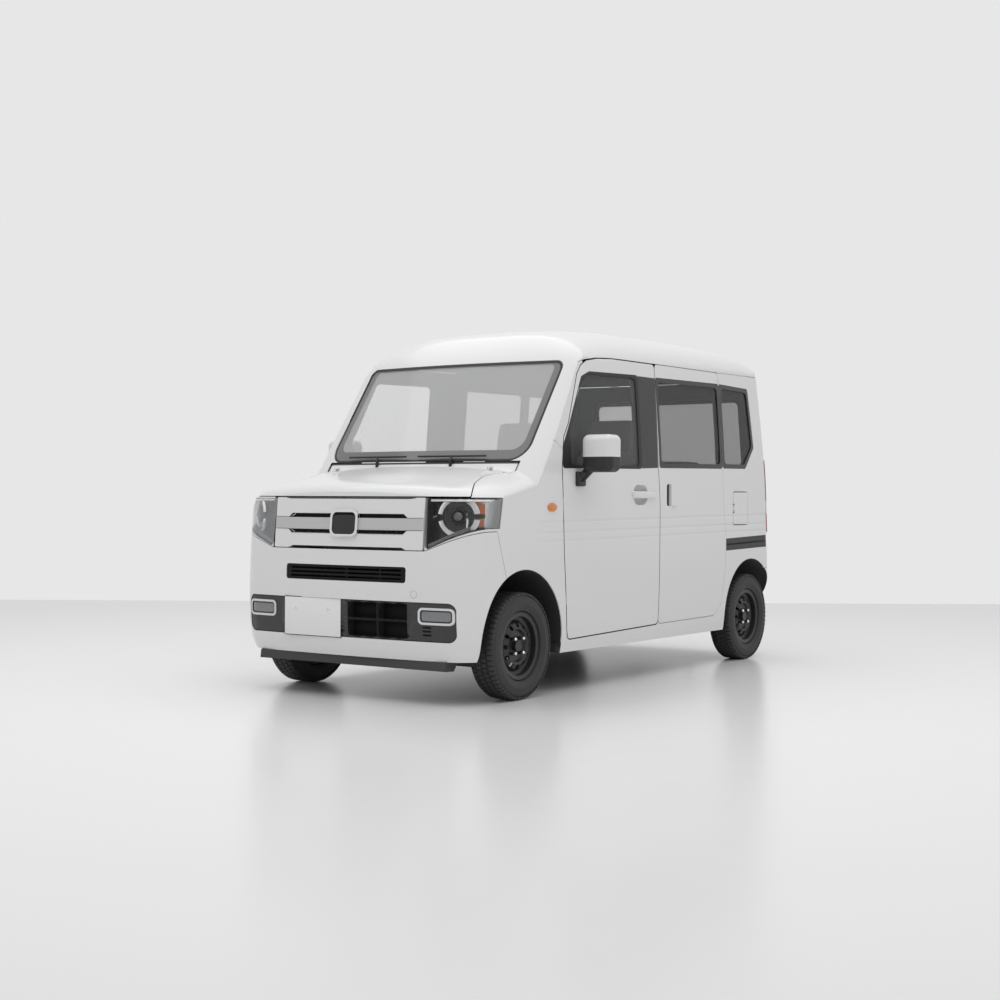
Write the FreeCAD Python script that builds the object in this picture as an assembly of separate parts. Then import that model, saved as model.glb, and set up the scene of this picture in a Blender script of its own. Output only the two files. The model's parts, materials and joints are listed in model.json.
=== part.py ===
import FreeCAD, Part
import math
import os

# Small high-roof van of the 3.4 m class, modelled in millimetres.
# The front faces -Y, the left side is +X, +Z is up, and the origin is on
# the ground under the middle of the bounding box.

Vec = FreeCAD.Vector
UP = Vec(0, 0, 1)
LEFT = Vec(1, 0, 0)
BACK = Vec(0, 1, 0)

# Overall size
LENGTH = 3395.0
WIDTH = 1475.0
HEIGHT = 1945.0
WHEELBASE = 2520.0
FRONT_OVERHANG = 505.0
TRACK_FRONT = 1310.0
TRACK_REAR = 1305.0
HALF = WIDTH / 2
NOSE = -LENGTH / 2
TAIL = LENGTH / 2
AXLE_F = NOSE + FRONT_OVERHANG
AXLE_R = AXLE_F + WHEELBASE

# Wheels: 145/80 R12 tyres on 4 inch wide steel rims
TYRE_RADIUS = 265.0
TYRE_WIDTH = 145.0
RIM_RADIUS = 152.0
RIM_LIP_RADIUS = 166.0
RIM_WIDTH = 110.0
RIM_OFFSET = 30.0
HUB_RADIUS = 27.0
STUD_CIRCLE = 100.0
STUD_COUNT = 4
HAND_HOLES = 12
HAND_HOLE_CIRCLE = 102.0
KINGPIN_X = 590.0

# Gaps and wall thicknesses
MOVING_GAP = 6.2
FIXED_GAP = 3.5
SHEET = 5.0
WALL = 42.0
GLASS = 4.0
GLASS_INSET = 3.0
PIN_CLEARANCE = 0.3

# Body shape by height: height, tuck-in of the side, set-back of nose and of tail
BODY_LEVELS = [
    (200.0, 21.0, 50.0, 40.0),
    (290.0, 8.5, 12.0, 9.0),
    (420.0, 2.5, 0.0, 0.0),
    (650.0, 0.0, 4.0, 8.0),
    (900.0, 0.0, 22.0, 26.0),
    (1160.0, 2.5, 55.0, 44.0),
    (1400.0, 15.5, 95.0, 65.0),
    (1660.0, 34.5, 140.0, 90.0),
    (1800.0, 46.5, 165.0, 106.0),
    (2000.0, 66.0, 200.0, 130.0),
]
NOSE_BOW_RADIUS = 6300.0
NOSE_CORNER = 165.0
TAIL_BOW_RADIUS = 5000.0
TAIL_CORNER = 110.0

# Centre line of windscreen and roof: distance behind the nose, drop below the roof top
ROOF_LINE = [
    (250.0, 1190.0), (566.0, 780.0), (969.5, 222.0), (1010.0, 178.0), (1070.0, 128.0),
    (1150.0, 78.0), (1245.0, 49.0), (1400.0, 29.0), (1560.0, 17.0), (1900.0, 5.0),
    (2300.0, 0.0), (2700.0, 0.0), (3000.0, 8.0), (3180.0, 32.0), (3280.0, 72.0),
    (3420.0, 150.0),
]
SCREEN_BOW = 66.0
SCREEN_BOW_AT = 650.0
PILLAR_START = 590.0
PILLAR_REACH = 170.0
PILLAR_DROP = 120.0
ROOF_EDGE = 715.0
ROOF_CROWN = 3.6
EAVE_FRONT = 1670.0
EAVE_SLOPE = 0.019

# Centre line of the bonnet: distance behind the nose, height
BONNET_LINE = [
    (-120.0, 790.0), (0.0, 955.0), (26.0, 1003.0), (45.0, 1030.0), (72.0, 1049.0),
    (120.0, 1064.0), (245.0, 1090.0), (400.0, 1122.0), (548.0, 1155.0), (800.0, 1200.0),
    (1200.0, 1250.0),
]
BONNET_CROWN = 22.0
FENDER_START = 560.0
FENDER_REACH = 200.0
FENDER_DROP = 95.0

# Side view lines of the doors and windows (distance behind the nose, height)
ARCH_F = (350.0, 290.0)
ARCH_R = (340.0, 284.0)
FRONT_DOOR = [
    (918.0, 272.0), (1856.0, 293.0), (1862.0, 700.0), (1864.0, 951.0), (1846.0, 1162.0),
    (1858.0, 1741.0), (1400.0, 1738.5), (1240.0, 1729.0), (1130.0, 1711.0), (1072.0, 1682.0),
    (1030.0, 1634.0), (921.0, 1374.0), (868.0, 1300.0), (847.0, 1150.0), (850.0, 1082.0),
    (868.0, 706.0), (903.0, 322.0),
]
SLIDING_DOOR = [
    (1861.0, 293.0), (2548.0, 300.0), (2630.0, 360.0), (2678.0, 560.0), (2682.0, 751.0),
    (2650.0, 1000.0), (2641.0, 1179.0), (2641.0, 1747.5), (1863.0, 1744.0), (1851.0, 1162.0),
    (1869.0, 951.0), (1867.0, 700.0),
]
FRONT_WINDOW = [
    (867.0, 1152.0), (1645.0, 1163.0), (1650.0, 1656.0), (1125.0, 1648.0), (1078.0, 1622.0),
    (940.0, 1375.0), (884.0, 1290.0),
]
SLIDING_WINDOW = [
    (1868.0, 1169.0), (2634.0, 1179.0), (2634.0, 1676.0), (1868.0, 1664.0),
]
QUARTER_WINDOW = [
    (2652.0, 1181.0), (2946.0, 1184.0), (3070.0, 1311.0), (3030.0, 1668.0), (2652.0, 1676.0),
]
SCREEN = [(-640.0, 1180.0), (640.0, 1180.0), (636.0, 1706.0), (-636.0, 1706.0)]
SCREEN_RADII = [90.0, 90.0, 40.0, 40.0]

# Joint between wing and windscreen pillar, drip line, bonnet edge (distance behind the nose, value)
WING_TOP = [(500.0, 1302.0), (740.0, 1290.0), (800.0, 1273.0), (900.0, 1208.0)]
DRIP_LINE = [
    (-50.0, 1560.0), (700.0, 1645.0), (1020.0, 1694.0), (1108.0, 1717.0), (1240.0, 1736.0),
    (1400.0, 1745.0), (1860.0, 1747.5), (2640.0, 1751.0), (3450.0, 1759.0),
]
BONNET_EDGE = [(-100.0, 700.0), (139.0, 672.0), (270.0, 597.0), (395.0, 554.0), (470.0, 566.0)]
BONNET_REAR_HALF = 604.0

# Front view lines; each grille slot has its tips and its flat edge as half width and height
SLOTS = [(370.0, 891.0, 338.0, 907.5), (368.0, 832.0, 338.0, 817.0), (390.0, 731.0, 350.0, 750.0)]
LAMP_INNER = 474.0
LAMP_TOP = 988.0
LAMP_INNER_LOW = 744.0
LAMP_OUTER_LOW = 846.0
LAMP_END = (257.0, 333.0)
BUMPER_TOP = 735.0
BUMPER_SPLIT = [(262.0, 830.0), (345.0, 600.0)]
BUMPER_LOW = 212.0
BONNET_GAP_Z = 996.0
PANEL_HALF = 655.0
PANEL_LOW = 306.0
PANEL_TOP = 493.0
PANEL_RADIUS = 40.0
SLOT_HALF = 380.0
SLOT_LOW = 582.0
SLOT_TOP = 658.0
SILL_LOW = 205.0

# Number plate holes
PLATE_HOLE = 3.0
PLATE_SPACING = 210.0
PLATE_X = -200.0
PLATE_Z = 440.0
REAR_PLATE_Z = 745.0

# Floors
FLOOR_LOW = 300.0
FLOOR_THICK = 30.0
LOAD_FLOOR = 500.0
SEAT_FLOOR = 480.0
SEAT_FLOOR_END = 2890.0
FLOOR_STEP = 2050.0
FLOOR_HALF = 655.0
RAIL_LOW = 262.0
POST = (600.0, 656.0, 862.0, 930.0)

# Joints
DOOR_FOOT_BACK = 905.0
DOOR_HINGE_X = 12.0
DOOR_HINGE_BACK = 908.0
DOOR_HINGE_Z = (470.0, 960.0)
BONNET_REAR = 528.0
BONNET_AXIS = (538.0, 1142.0)
BONNET_LUG_X = 500.0
GATE_AXIS = (3297.5, 1748.0)
GATE_LUG_X = 400.0
GATE_TOP = 1738.0
LID_AXIS = (4.8, 2793.0)
TAILGATE_LOW = 560.0
TAILGATE_HALF = 640.0
LID = (2783.0, 2980.0, 838.0, 1032.0)


def y_of(back):
    """Y of a point at a distance behind the nose."""
    return NOSE + back


def line_at(points, at):
    """Smooth curve through (position, value) points, read at one position."""
    i = 1
    while i < len(points) - 2 and points[i][0] <= at:
        i += 1
    x0, y0 = points[i - 1]
    x1, y1 = points[i]

    def slope(k):
        low = max(k - 1, 0)
        high = min(k + 1, len(points) - 1)
        return (points[high][1] - points[low][1]) / (points[high][0] - points[low][0])

    span = x1 - x0
    t = (at - x0) / span
    if t < 0 or t > 1:
        return y0 + slope(i - 1) * (at - x0) if t < 0 else y1 + slope(i) * (at - x1)
    a = 2 * t ** 3 - 3 * t ** 2 + 1
    b = t ** 3 - 2 * t ** 2 + t
    c = 3 * t ** 2 - 2 * t ** 3
    d = t ** 3 - t ** 2
    return a * y0 + b * span * slope(i - 1) + c * y1 + d * span * slope(i)


def ease(t):
    """Goes smoothly from 0 to 1."""
    t = min(max(t, 0.0), 1.0)
    return t * t * (3 - 2 * t)


def round_drop(distance, reach, drop):
    """Quarter-round fall: zero until distance 0, full drop at the reach."""
    t = min(max(distance / reach, 0.0), 0.97)
    return drop * (1 - math.sqrt(1 - t * t))


def tuck_at(z):
    """Tuck-in of the body side at a height."""
    return line_at([(lv[0], lv[1]) for lv in BODY_LEVELS], z)


def frame_x(z):
    """Outer face of the inner frame, clear of the doors' inner faces."""
    return HALF - tuck_at(z) - WALL - MOVING_GAP


def plan_wire(z, inset):
    """Closed plan outline of the body at one height."""
    tuck = tuck_at(z)
    nose = line_at([(lv[0], lv[2]) for lv in BODY_LEVELS], z)
    tail = line_at([(lv[0], lv[3]) for lv in BODY_LEVELS], z)
    w = HALF - tuck - inset
    ends = []
    for face, bow, corner, sign in (
        (NOSE + nose + inset, NOSE_BOW_RADIUS - inset, max(NOSE_CORNER - inset, 8.0), 1),
        (TAIL - tail - inset, TAIL_BOW_RADIUS - inset, max(TAIL_CORNER - inset, 8.0), -1),
    ):
        sin_a = (w - corner) / (bow - corner)
        angle = math.asin(sin_a)
        bow_x = bow * sin_a
        bow_y = face + sign * bow * (1 - math.cos(angle))
        side_y = bow_y + sign * corner * math.cos(angle)
        half_angle = (math.pi / 2 - angle) / 2 + angle
        mid_x = w - corner + corner * math.sin(half_angle)
        mid_y = side_y - sign * corner * math.cos(half_angle)
        ends.append((face, bow_x, bow_y, side_y, mid_x, mid_y))
    (f, fx, fy, fs, fmx, fmy), (r, rx, ry, rs, rmx, rmy) = ends
    edges = [
        Part.Arc(Vec(-fx, fy, z), Vec(0, f, z), Vec(fx, fy, z)).toShape(),
        Part.Arc(Vec(fx, fy, z), Vec(fmx, fmy, z), Vec(w, fs, z)).toShape(),
        Part.LineSegment(Vec(w, fs, z), Vec(w, rs, z)).toShape(),
        Part.Arc(Vec(w, rs, z), Vec(rmx, rmy, z), Vec(rx, ry, z)).toShape(),
        Part.Arc(Vec(rx, ry, z), Vec(0, r, z), Vec(-rx, ry, z)).toShape(),
        Part.Arc(Vec(-rx, ry, z), Vec(-rmx, rmy, z), Vec(-w, rs, z)).toShape(),
        Part.LineSegment(Vec(-w, rs, z), Vec(-w, fs, z)).toShape(),
        Part.Arc(Vec(-w, fs, z), Vec(-fmx, fmy, z), Vec(-fx, fy, z)).toShape(),
    ]
    return Part.Wire(edges)


def body_tube(inset):
    """Upright outer form: sides, nose and tail, with no top."""
    heights = [lv[0] for lv in BODY_LEVELS]
    if inset > SHEET:
        heights[0] = heights[0] + inset
    return Part.makeLoft([plan_wire(z, inset) for z in heights], True, False)


def eave_height(y):
    """Height where the roof's crown starts along the body side."""
    return EAVE_FRONT + EAVE_SLOPE * y


def cabin_height(x, y):
    """Height of windscreen and roof over a point of the plan."""
    back = y - NOSE
    across = abs(x)
    screen_back = back - SCREEN_BOW * (across / SCREEN_BOW_AT) ** 2
    screen = HEIGHT - line_at(ROOF_LINE, screen_back)
    screen -= round_drop(across - PILLAR_START, PILLAR_REACH, PILLAR_DROP)
    top = HEIGHT - line_at(ROOF_LINE, back)
    low = eave_height(y)
    form = max(1 - (across / ROOF_EDGE) ** ROOF_CROWN, 0.0) ** 0.5
    roof = top if top < low else low + (top - low) * form
    if across > ROOF_EDGE:
        roof = low - (across - ROOF_EDGE) * 2
    blend = ease((back - 960.0) / 260.0)
    return screen * (1 - blend) + roof * blend


def bonnet_height(x, y):
    """Height of bonnet and wings over a point of the plan."""
    back = y - NOSE
    across = abs(x)
    bow = across ** 2 / (2 * NOSE_BOW_RADIUS)
    corner = round_drop(across - (HALF - NOSE_CORNER), NOSE_CORNER, NOSE_CORNER * 0.8)
    height = line_at(BONNET_LINE, back - bow - corner)
    height -= BONNET_CROWN * (across / FENDER_START) ** 2
    return height - round_drop(across - FENDER_START, FENDER_REACH, FENDER_DROP)


def grid_surface(rows, across, along):
    """Smooth surface through a grid of points, with the grid positions as its parameters."""
    curves = []
    for row in rows:
        curve = Part.BSplineCurve()
        curve.interpolate(Points=row, Parameters=across)
        curves.append(curve)
    columns = []
    for i in range(curves[0].NbPoles):
        column = Part.BSplineCurve()
        column.interpolate(Points=[c.getPole(i + 1) for c in curves], Parameters=along)
        columns.append(column)
    poles = [column.getPoles() for column in columns]
    surface = Part.BSplineSurface()
    surface.buildFromPolesMultsKnots(
        poles, curves[0].getMultiplicities(), columns[0].getMultiplicities(),
        curves[0].getKnots(), columns[0].getKnots(), False, False,
        curves[0].Degree, columns[0].Degree)
    return surface


def under(height_at, x_grid, y_grid, inset):
    """Solid that fills the space under a height surface, lowered along its normal."""
    rows = []
    step = 1.0
    for y in y_grid:
        row = []
        for x in x_grid:
            z = height_at(x, y)
            if inset:
                dx = (height_at(x + step, y) - height_at(x - step, y)) / (2 * step)
                dy = (height_at(x, y + step) - height_at(x, y - step)) / (2 * step)
                scale = inset / math.sqrt(1 + dx * dx + dy * dy)
                row.append(Vec(x + dx * scale, y + dy * scale, z - scale))
            else:
                row.append(Vec(x, y, z))
        rows.append(row)
    face = grid_surface(rows, x_grid, y_grid).toShape()
    return face.extrude(Vec(0, 0, -2500))


def spread(values):
    """The same list on both sides of zero."""
    return [-v for v in reversed(values) if v > 0] + values


def envelope(inset):
    """Whole body form, moved in by the inset."""
    x_grid = spread([0.0, 160.0, 320.0, 450.0, 540.0, 600.0, 645.0, 680.0, 712.0, 760.0])
    cabin_y = [y_of(b) for b in (
        300, 430, 560, 700, 830, 920, 970, 1020, 1080, 1150, 1250, 1400, 1650, 2000, 2400,
        2750, 3000, 3150, 3230, 3290, 3340, 3420)]
    bonnet_y = [y_of(b) for b in (
        -60, -20, 15, 40, 65, 95, 135, 190, 270, 380, 520, 700, 900)]
    cabin = under(cabin_height, x_grid, cabin_y, inset)
    bonnet = under(bonnet_height, x_grid, bonnet_y, inset)
    tube = body_tube(inset)
    lower = tube.common(bonnet)
    upper = tube.common(cabin)
    front = box(-HALF, HALF, y_of(-20), y_of(760), 0, 2000)
    return lower.common(front).fuse(upper)


def box(x0, x1, y0, y1, z0, z1):
    """Box between two corners."""
    return Part.makeBox(x1 - x0, y1 - y0, z1 - z0, Vec(x0, y0, z0))


def rounded(points, radii):
    """Closed flat wire through 3D points, with rounded corners: one radius, or one for each."""
    count = len(points)
    edges = []
    last = None
    first = None
    for i in range(count):
        p = points[i]
        a = points[i - 1] - p
        b = points[(i + 1) % count] - p
        angle = a.getAngle(b)
        radius = radii[i] if isinstance(radii, list) else radii
        if radius <= 0 or angle > math.pi - 0.02:
            start = p
            end = p
        else:
            reach = min(radius / math.tan(angle / 2), 0.45 * a.Length, 0.45 * b.Length)
            r = reach * math.tan(angle / 2)
            a.normalize()
            b.normalize()
            start = p + a * reach
            end = p + b * reach
            bisector = (a + b).normalize()
            middle = p + bisector * (r / math.sin(angle / 2) - r)
        if last is not None:
            edges.append(Part.LineSegment(last, start).toShape())
        else:
            first = start
        if (end - start).Length > 1e-6:
            edges.append(Part.Arc(start, middle, end).toShape())
        last = end
    edges.append(Part.LineSegment(last, first).toShape())
    return Part.Wire(edges)


def side_prism(points, radius, x0, x1, grow=0.0):
    """Prism across the body from an outline of (distance behind nose, height)."""
    wire = rounded([Vec(x0, y_of(b), z) for b, z in points], radius)
    if grow:
        wire = wire.makeOffset2D(grow)
    return Part.Face(wire).extrude(Vec(x1 - x0, 0, 0))


def front_prism(points, radius, y0, y1, grow=0.0):
    """Prism along the body from an outline of (x, height)."""
    wire = rounded([Vec(x, y0, z) for x, z in points], radius)
    if grow:
        wire = wire.makeOffset2D(grow)
    return Part.Face(wire).extrude(Vec(0, y1 - y0, 0))


def plan_prism(points, radius, z0, z1):
    """Upright prism from an outline of (x, distance behind nose)."""
    wire = rounded([Vec(x, y_of(b), z0) for x, b in points], radius)
    return Part.Face(wire).extrude(Vec(0, 0, z1 - z0))


def mirrored(shape):
    """Copy on the other side of the centre plane."""
    return shape.mirror(Vec(0, 0, 0), LEFT)


def both(shape):
    """The piece and its mirror image."""
    return Part.makeCompound([shape, mirrored(shape)])


def tidy(shape):
    """Largest clean solids of a cut result, without crumbs."""
    solids = [s for s in shape.Solids if s.Volume > 300.0]
    return solids[0] if len(solids) == 1 else Part.makeCompound(solids)


def tube_x(x0, x1, y, z, r, hole=0.0):
    """Cylinder or ring along X."""
    body = Part.makeCylinder(r, x1 - x0, Vec(x0, y, z), LEFT)
    if hole:
        body = body.cut(Part.makeCylinder(hole, x1 - x0, Vec(x0, y, z), LEFT))
    return body


def rod(a, b, r):
    """Round bar between two points."""
    a = Vec(*a)
    b = Vec(*b)
    return Part.makeCylinder(r, (b - a).Length, a, b - a)


def write(name, shape):
    """Save one piece."""
    shape.exportStep("parts/" + name + ".step")


def arch(radius_height, axle_y, reach_in, grow=0.0):
    """Space of one wheel arch on the left side."""
    radius, height = radius_height
    cyl = tube_x(reach_in, 900, axle_y, height, radius + grow)
    drop = box(reach_in, 900, axle_y - radius - grow, axle_y + radius + grow, 0, height)
    return cyl.fuse(drop)


def bumper_region(grow=0.0):
    """Space that the front bumper fills, on both sides."""
    front = front_prism([(-900, 0), (900, 0), (900, LAMP_OUTER_LOW + 40),
                         (LAMP_INNER + 12, LAMP_INNER_LOW - 8), (LAMP_INNER - 10, BUMPER_TOP),
                         (-LAMP_INNER + 10, BUMPER_TOP), (-LAMP_INNER - 12, LAMP_INNER_LOW - 8),
                         (-900, LAMP_OUTER_LOW + 40)], 0, y_of(-200), y_of(600), grow)
    (b0, z0), (b1, z1) = BUMPER_SPLIT
    slope = (b1 - b0) / (z1 - z0)
    side = side_prism([(-100, 0), (b1 - slope * z1, 0), (b0 + slope * (1000 - z0), 1000),
                       (-100, 1000)], 0, -900, 900, grow)
    return front.common(side)


def lamp_region(grow=0.0):
    """Space of the left headlamp."""
    front = front_prism([(LAMP_INNER + 12, LAMP_INNER_LOW), (900, LAMP_OUTER_LOW + 66),
                         (900, LAMP_TOP), (LAMP_INNER, LAMP_TOP)], 14, y_of(-200), y_of(600), grow)
    side = side_prism([(-100, 700), (LAMP_END[0], 700), (LAMP_END[1], 1100), (-100, 1100)],
                      0, 100, 900, grow)
    return front.common(side)


def bonnet_region(grow=0.0):
    """Plan space of the bonnet."""
    edge = [(half + grow, back) for back, half in BONNET_EDGE]
    edge.append((BONNET_REAR_HALF + grow, BONNET_REAR + grow))
    other = [(-x, back) for x, back in reversed(edge)]
    return plan_prism(edge + other, 12, BONNET_GAP_Z - grow, 1400)


def hinge_axis():
    """X and Y of the left front door's hinge pins."""
    return HALF - DOOR_HINGE_X, y_of(DOOR_HINGE_BACK)


def drip_band(low, high):
    """Prism across the body between two heights measured from the drip line."""
    lower = [(back, z + low) for back, z in DRIP_LINE]
    upper = [(back, z + high) for back, z in reversed(DRIP_LINE)]
    return side_prism(lower + upper, 0, -900, 900)


def build_body():
    """Outer forms that the panels are cut from."""
    skin = envelope(0.0)
    core = envelope(SHEET)
    inner = envelope(WALL)
    forms = {"skin": skin, "core": core, "inner": inner}
    forms["sheet"] = skin.cut(core)
    forms["wall"] = skin.cut(inner)
    forms["left"] = forms["wall"].common(box(300, 900, NOSE - 20, TAIL + 20, 0, 2000))
    forms["glass"] = core.cut(envelope(SHEET + GLASS))
    return forms


def door_hinges():
    """Hinge arms of the left front door, from the hinge post to the pins."""
    x, y = hinge_axis()
    arms = []
    for z in DOOR_HINGE_Z:
        arm = box(x - 75, x, y - 7, y + 7, z - 14, z + 14)
        arms.append(arm.fuse(Part.makeCylinder(6, 64, Vec(x, y, z - 32))).fuse(
            Part.makeCylinder(9, 28, Vec(x, y, z - 14))))
    return arms


def hinge_pockets(clear):
    """Room for the hinge arms in the door, with the bores for the pins."""
    x, y = hinge_axis()
    cuts = []
    for z in DOOR_HINGE_Z:
        cuts.append(box(x - 120, x + 9, y - 120, y + 16, z - 20, z + 20))
        cuts.append(Part.makeCylinder(6 + clear, 66, Vec(x, y, z - 33)))
    return cuts


def screen_hole():
    """Opening of the windscreen."""
    return front_prism(SCREEN, SCREEN_RADII, y_of(200), y_of(1300), FIXED_GAP)


def gate_window(grow=0.0):
    """Opening of the tailgate window."""
    points = [(-560, 1175), (560, 1175), (545, 1640), (-545, 1640)]
    return front_prism(points, 40, y_of(3200), TAIL + 50, grow)


def roof_panel(forms):
    """Roof with its headers, side rails, cross ribs and the tailgate's hinge knuckles."""
    gate_half = TAILGATE_HALF + MOVING_GAP
    header = side_prism([(850, 1714), (1075, 1714), (1075, 1800), (850, 1800)], 0, -620, 620)
    rear_header = box(-gate_half, gate_half, y_of(3200), TAIL, GATE_TOP + MOVING_GAP, 1800)
    space = drip_band(0, 400).fuse([header, rear_header])
    roof = forms["wall"].common(space).cut(screen_hole())
    rail = front_prism([(664, 1700), (618, 1700), (618, 1770), (664, 1770)], 0,
                       y_of(1075), y_of(3235))
    rails = both(rail).common(drip_band(0, 400)).common(forms["core"])
    boxes = []
    for back in (1500.0, 2050.0, 2600.0):
        boxes.append(box(-620, 620, y_of(back), y_of(back + 60), 1780, 1950))
    raised = forms["inner"].copy()
    raised.translate(Vec(0, 0, 10))
    lowered = forms["inner"].copy()
    lowered.translate(Vec(0, 0, -18))
    ribs = Part.makeCompound(boxes).common(raised).cut(lowered)
    knuckles = gate_hinges()[1]
    return tidy(roof.fuse([rails, ribs, knuckles]))


def front_door(forms):
    """Left front door shell with its window, hinge pockets and handle."""
    door = forms["left"].common(side_prism(FRONT_DOOR, 26, 300, 900))
    recess = side_prism([(1567, 956), (1727, 956), (1727, 1066), (1567, 1066)], 54, HALF - 22, 900)
    window = side_prism(FRONT_WINDOW, 22, 300, 900)
    door = door.cut([window, recess] + hinge_pockets(PIN_CLEARANCE))
    grip = box(HALF - 12, HALF + 12, y_of(1552), y_of(1808), 1002, 1030)
    grip = grip.makeFillet(5, grip.Edges)
    foot = box(HALF - 22, HALF - 6, y_of(1735), y_of(1785), 1004, 1028)
    return tidy(door.fuse([grip, foot]))


def fuel_lid(forms, panel):
    """Fuel lid with its lug, and the left panel with the recess and the hinge arms."""
    x, y = lid_axis()
    panel = panel.cut([lid_outline(HALF - 26, HALF + 20, MOVING_GAP), lid_outline(300, HALF - 20, -10)])
    arms = [Part.makeCylinder(2.0, 42, Vec(x, y, 914))]
    for z in (914, 949):
        arms.append(box(x - 3.5, x + 2.7, y_of(LID[0]) - MOVING_GAP - 4, y + 3, z, z + 7))
    panel = tidy(panel.fuse(arms))
    lid = forms["sheet"].common(lid_outline(HALF - 12, HALF + 20))
    lid = lid.cut(box(HALF - 12, HALF + 5, y_of(LID[0]) - 1, y + 8.5, 907.5, 962.5))
    lug = Part.makeCylinder(4.5, 20, Vec(x, y, 925)).fuse(box(x - 4.5, x + 4.2, y, y + 14, 925, 945))
    lid = lid.fuse(lug).cut(Part.makeCylinder(2.0 + PIN_CLEARANCE, 60, Vec(x, y, 905)))
    return tidy(lid), panel


def above_wing(grow=0.0):
    """Space of the windscreen pillars above the joint with the wings."""
    points = [(back, z + grow) for back, z in WING_TOP]
    end = WING_TOP[-1][1] + grow
    return side_prism(points + [(1200, end), (1200, 2000), (WING_TOP[0][0], 2000)], 0, -900, 900)


def front_wing(forms):
    """Left front wing."""
    wing = forms["sheet"].common(box(LAMP_INNER + 8, 900, NOSE, y_of(1062), SILL_LOW, 1400))
    return tidy(wing.cut([
        bumper_region(FIXED_GAP),
        lamp_region(FIXED_GAP),
        bonnet_region(MOVING_GAP),
        screen_hole(),
        side_prism(FRONT_DOOR, 26, 300, 900, MOVING_GAP),
        arch(ARCH_F, AXLE_F, 300),
        above_wing(),
        box(300, 900, y_of(700), y_of(1100), 0, FRONT_DOOR[0][1]),
        box(300, 900, y_of(DOOR_FOOT_BACK) - FIXED_GAP, y_of(1100), 0, 400),
        box(300, 620, y_of(BONNET_REAR), y_of(760), 1000, 1178),
    ]))


def front_bumper(forms):
    """Front bumper skin with the openings of the lower panel and the slot."""
    bumper = forms["sheet"].common(bumper_region())
    inner = PANEL_HALF
    panel_hole = front_prism([(-inner, PANEL_LOW), (inner, PANEL_LOW), (inner, PANEL_TOP),
                              (-inner, PANEL_TOP)], PANEL_RADIUS, y_of(-100), y_of(200))
    slot_hole = front_prism([(-SLOT_HALF, SLOT_LOW), (SLOT_HALF, SLOT_LOW),
                             (SLOT_HALF, SLOT_TOP), (-SLOT_HALF, SLOT_TOP)],
                            14, y_of(-100), y_of(200))
    left_arch = arch(ARCH_F, AXLE_F, 300)
    below = box(-900, 900, NOSE - 20, 0, 0, BUMPER_LOW)
    return tidy(bumper.cut([below, left_arch, mirrored(left_arch), panel_hole, slot_hole]))


def rear_bumper(forms):
    """Rear bumper below the tailgate and the quarters."""
    bumper = forms["wall"].common(box(-900, 900, y_of(3120), TAIL, 225, TAILGATE_LOW))
    gate_half = TAILGATE_HALF + MOVING_GAP
    left_arch = arch(ARCH_R, AXLE_R, 300)
    return tidy(bumper.cut([
        left_arch,
        mirrored(left_arch),
        box(-gate_half, gate_half, y_of(3200), TAIL, TAILGATE_LOW - MOVING_GAP, 700),
        box(-640, 640, y_of(3100), y_of(3340), 0, 300),
    ]))


def panels(forms):
    """Painted panels, doors, tailgate, bonnet and glass."""
    write("roof_panel", roof_panel(forms))
    door = front_door(forms)
    write("front_door_left", door)
    write("front_door_right", mirrored(door))
    write("sliding_doors", both(sliding_door(forms)))
    panel = side_panel(forms)
    write("side_panel_right", mirrored(panel))
    lid, panel = fuel_lid(forms, panel)
    write("side_panel_left", panel)
    write("fuel_lid", lid)
    write("front_wings", both(front_wing(forms)))
    lugs, brackets = bonnet_hinges()
    write("bonnet", tidy(forms["sheet"].common(bonnet_region()).fuse(lugs)))
    write("front_bumper", front_bumper(forms))
    gate = forms["wall"].common(tailgate_region())
    gate = gate.cut([gate_window()] + plate_holes(y_of(3300), TAIL + 10, 0, REAR_PLATE_Z))
    write("tailgate", tidy(gate.fuse(gate_hinges()[0])))
    write("rear_bumper", rear_bumper(forms))

    glass = forms["glass"]
    slide_pane = glass.common(side_prism(SLIDING_WINDOW, 16, 300, 900, -0.4))
    quarter_pane = glass.common(side_prism(QUARTER_WINDOW, 26, 300, 900, -0.4))
    front_pane = tidy(glass.common(side_prism(FRONT_WINDOW, 22, 300, 900, -0.4)))
    screen = glass.common(front_prism(SCREEN, SCREEN_RADII, y_of(200), y_of(1300),
                                      FIXED_GAP - 0.4))
    write("side_glass", both(Part.makeCompound([tidy(slide_pane), tidy(quarter_pane)])))
    write("windscreen", tidy(screen))
    write("front_door_glass_left", front_pane)
    write("front_door_glass_right", mirrored(front_pane))
    write("tailgate_glass", tidy(glass.common(gate_window(-0.4))))
    front_details(forms, brackets)
    tail_details(forms)


def rail_box(grow):
    """Space of the left slide rail."""
    return side_prism([(2688, 680), (3304, 694), (3304, 769), (2688, 753)], 0,
                      HALF - 34 - grow, 900, grow)


def tail_lamp_box(grow):
    """Space of the left tail lamp."""
    return box(TAILGATE_HALF + 12 - grow, 900, y_of(3300) - grow, TAIL, 775 - grow, 1257 + grow)


def sliding_door(forms):
    """Left sliding door shell with its window and upright handle."""
    door = forms["left"].common(side_prism(SLIDING_DOOR, 26, 300, 900))
    handle_cut = side_prism([(1944, 950), (2020, 950), (2020, 1074), (1944, 1074)], 16,
                            HALF - 18, HALF + 5)
    door = door.cut([side_prism(SLIDING_WINDOW, 16, 300, 900), handle_cut])
    grip = box(HALF - 14, HALF + 9, y_of(1986), y_of(2048), 947, 1077)
    return tidy(door.fuse(grip.makeFillet(5, grip.Edges)))


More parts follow.
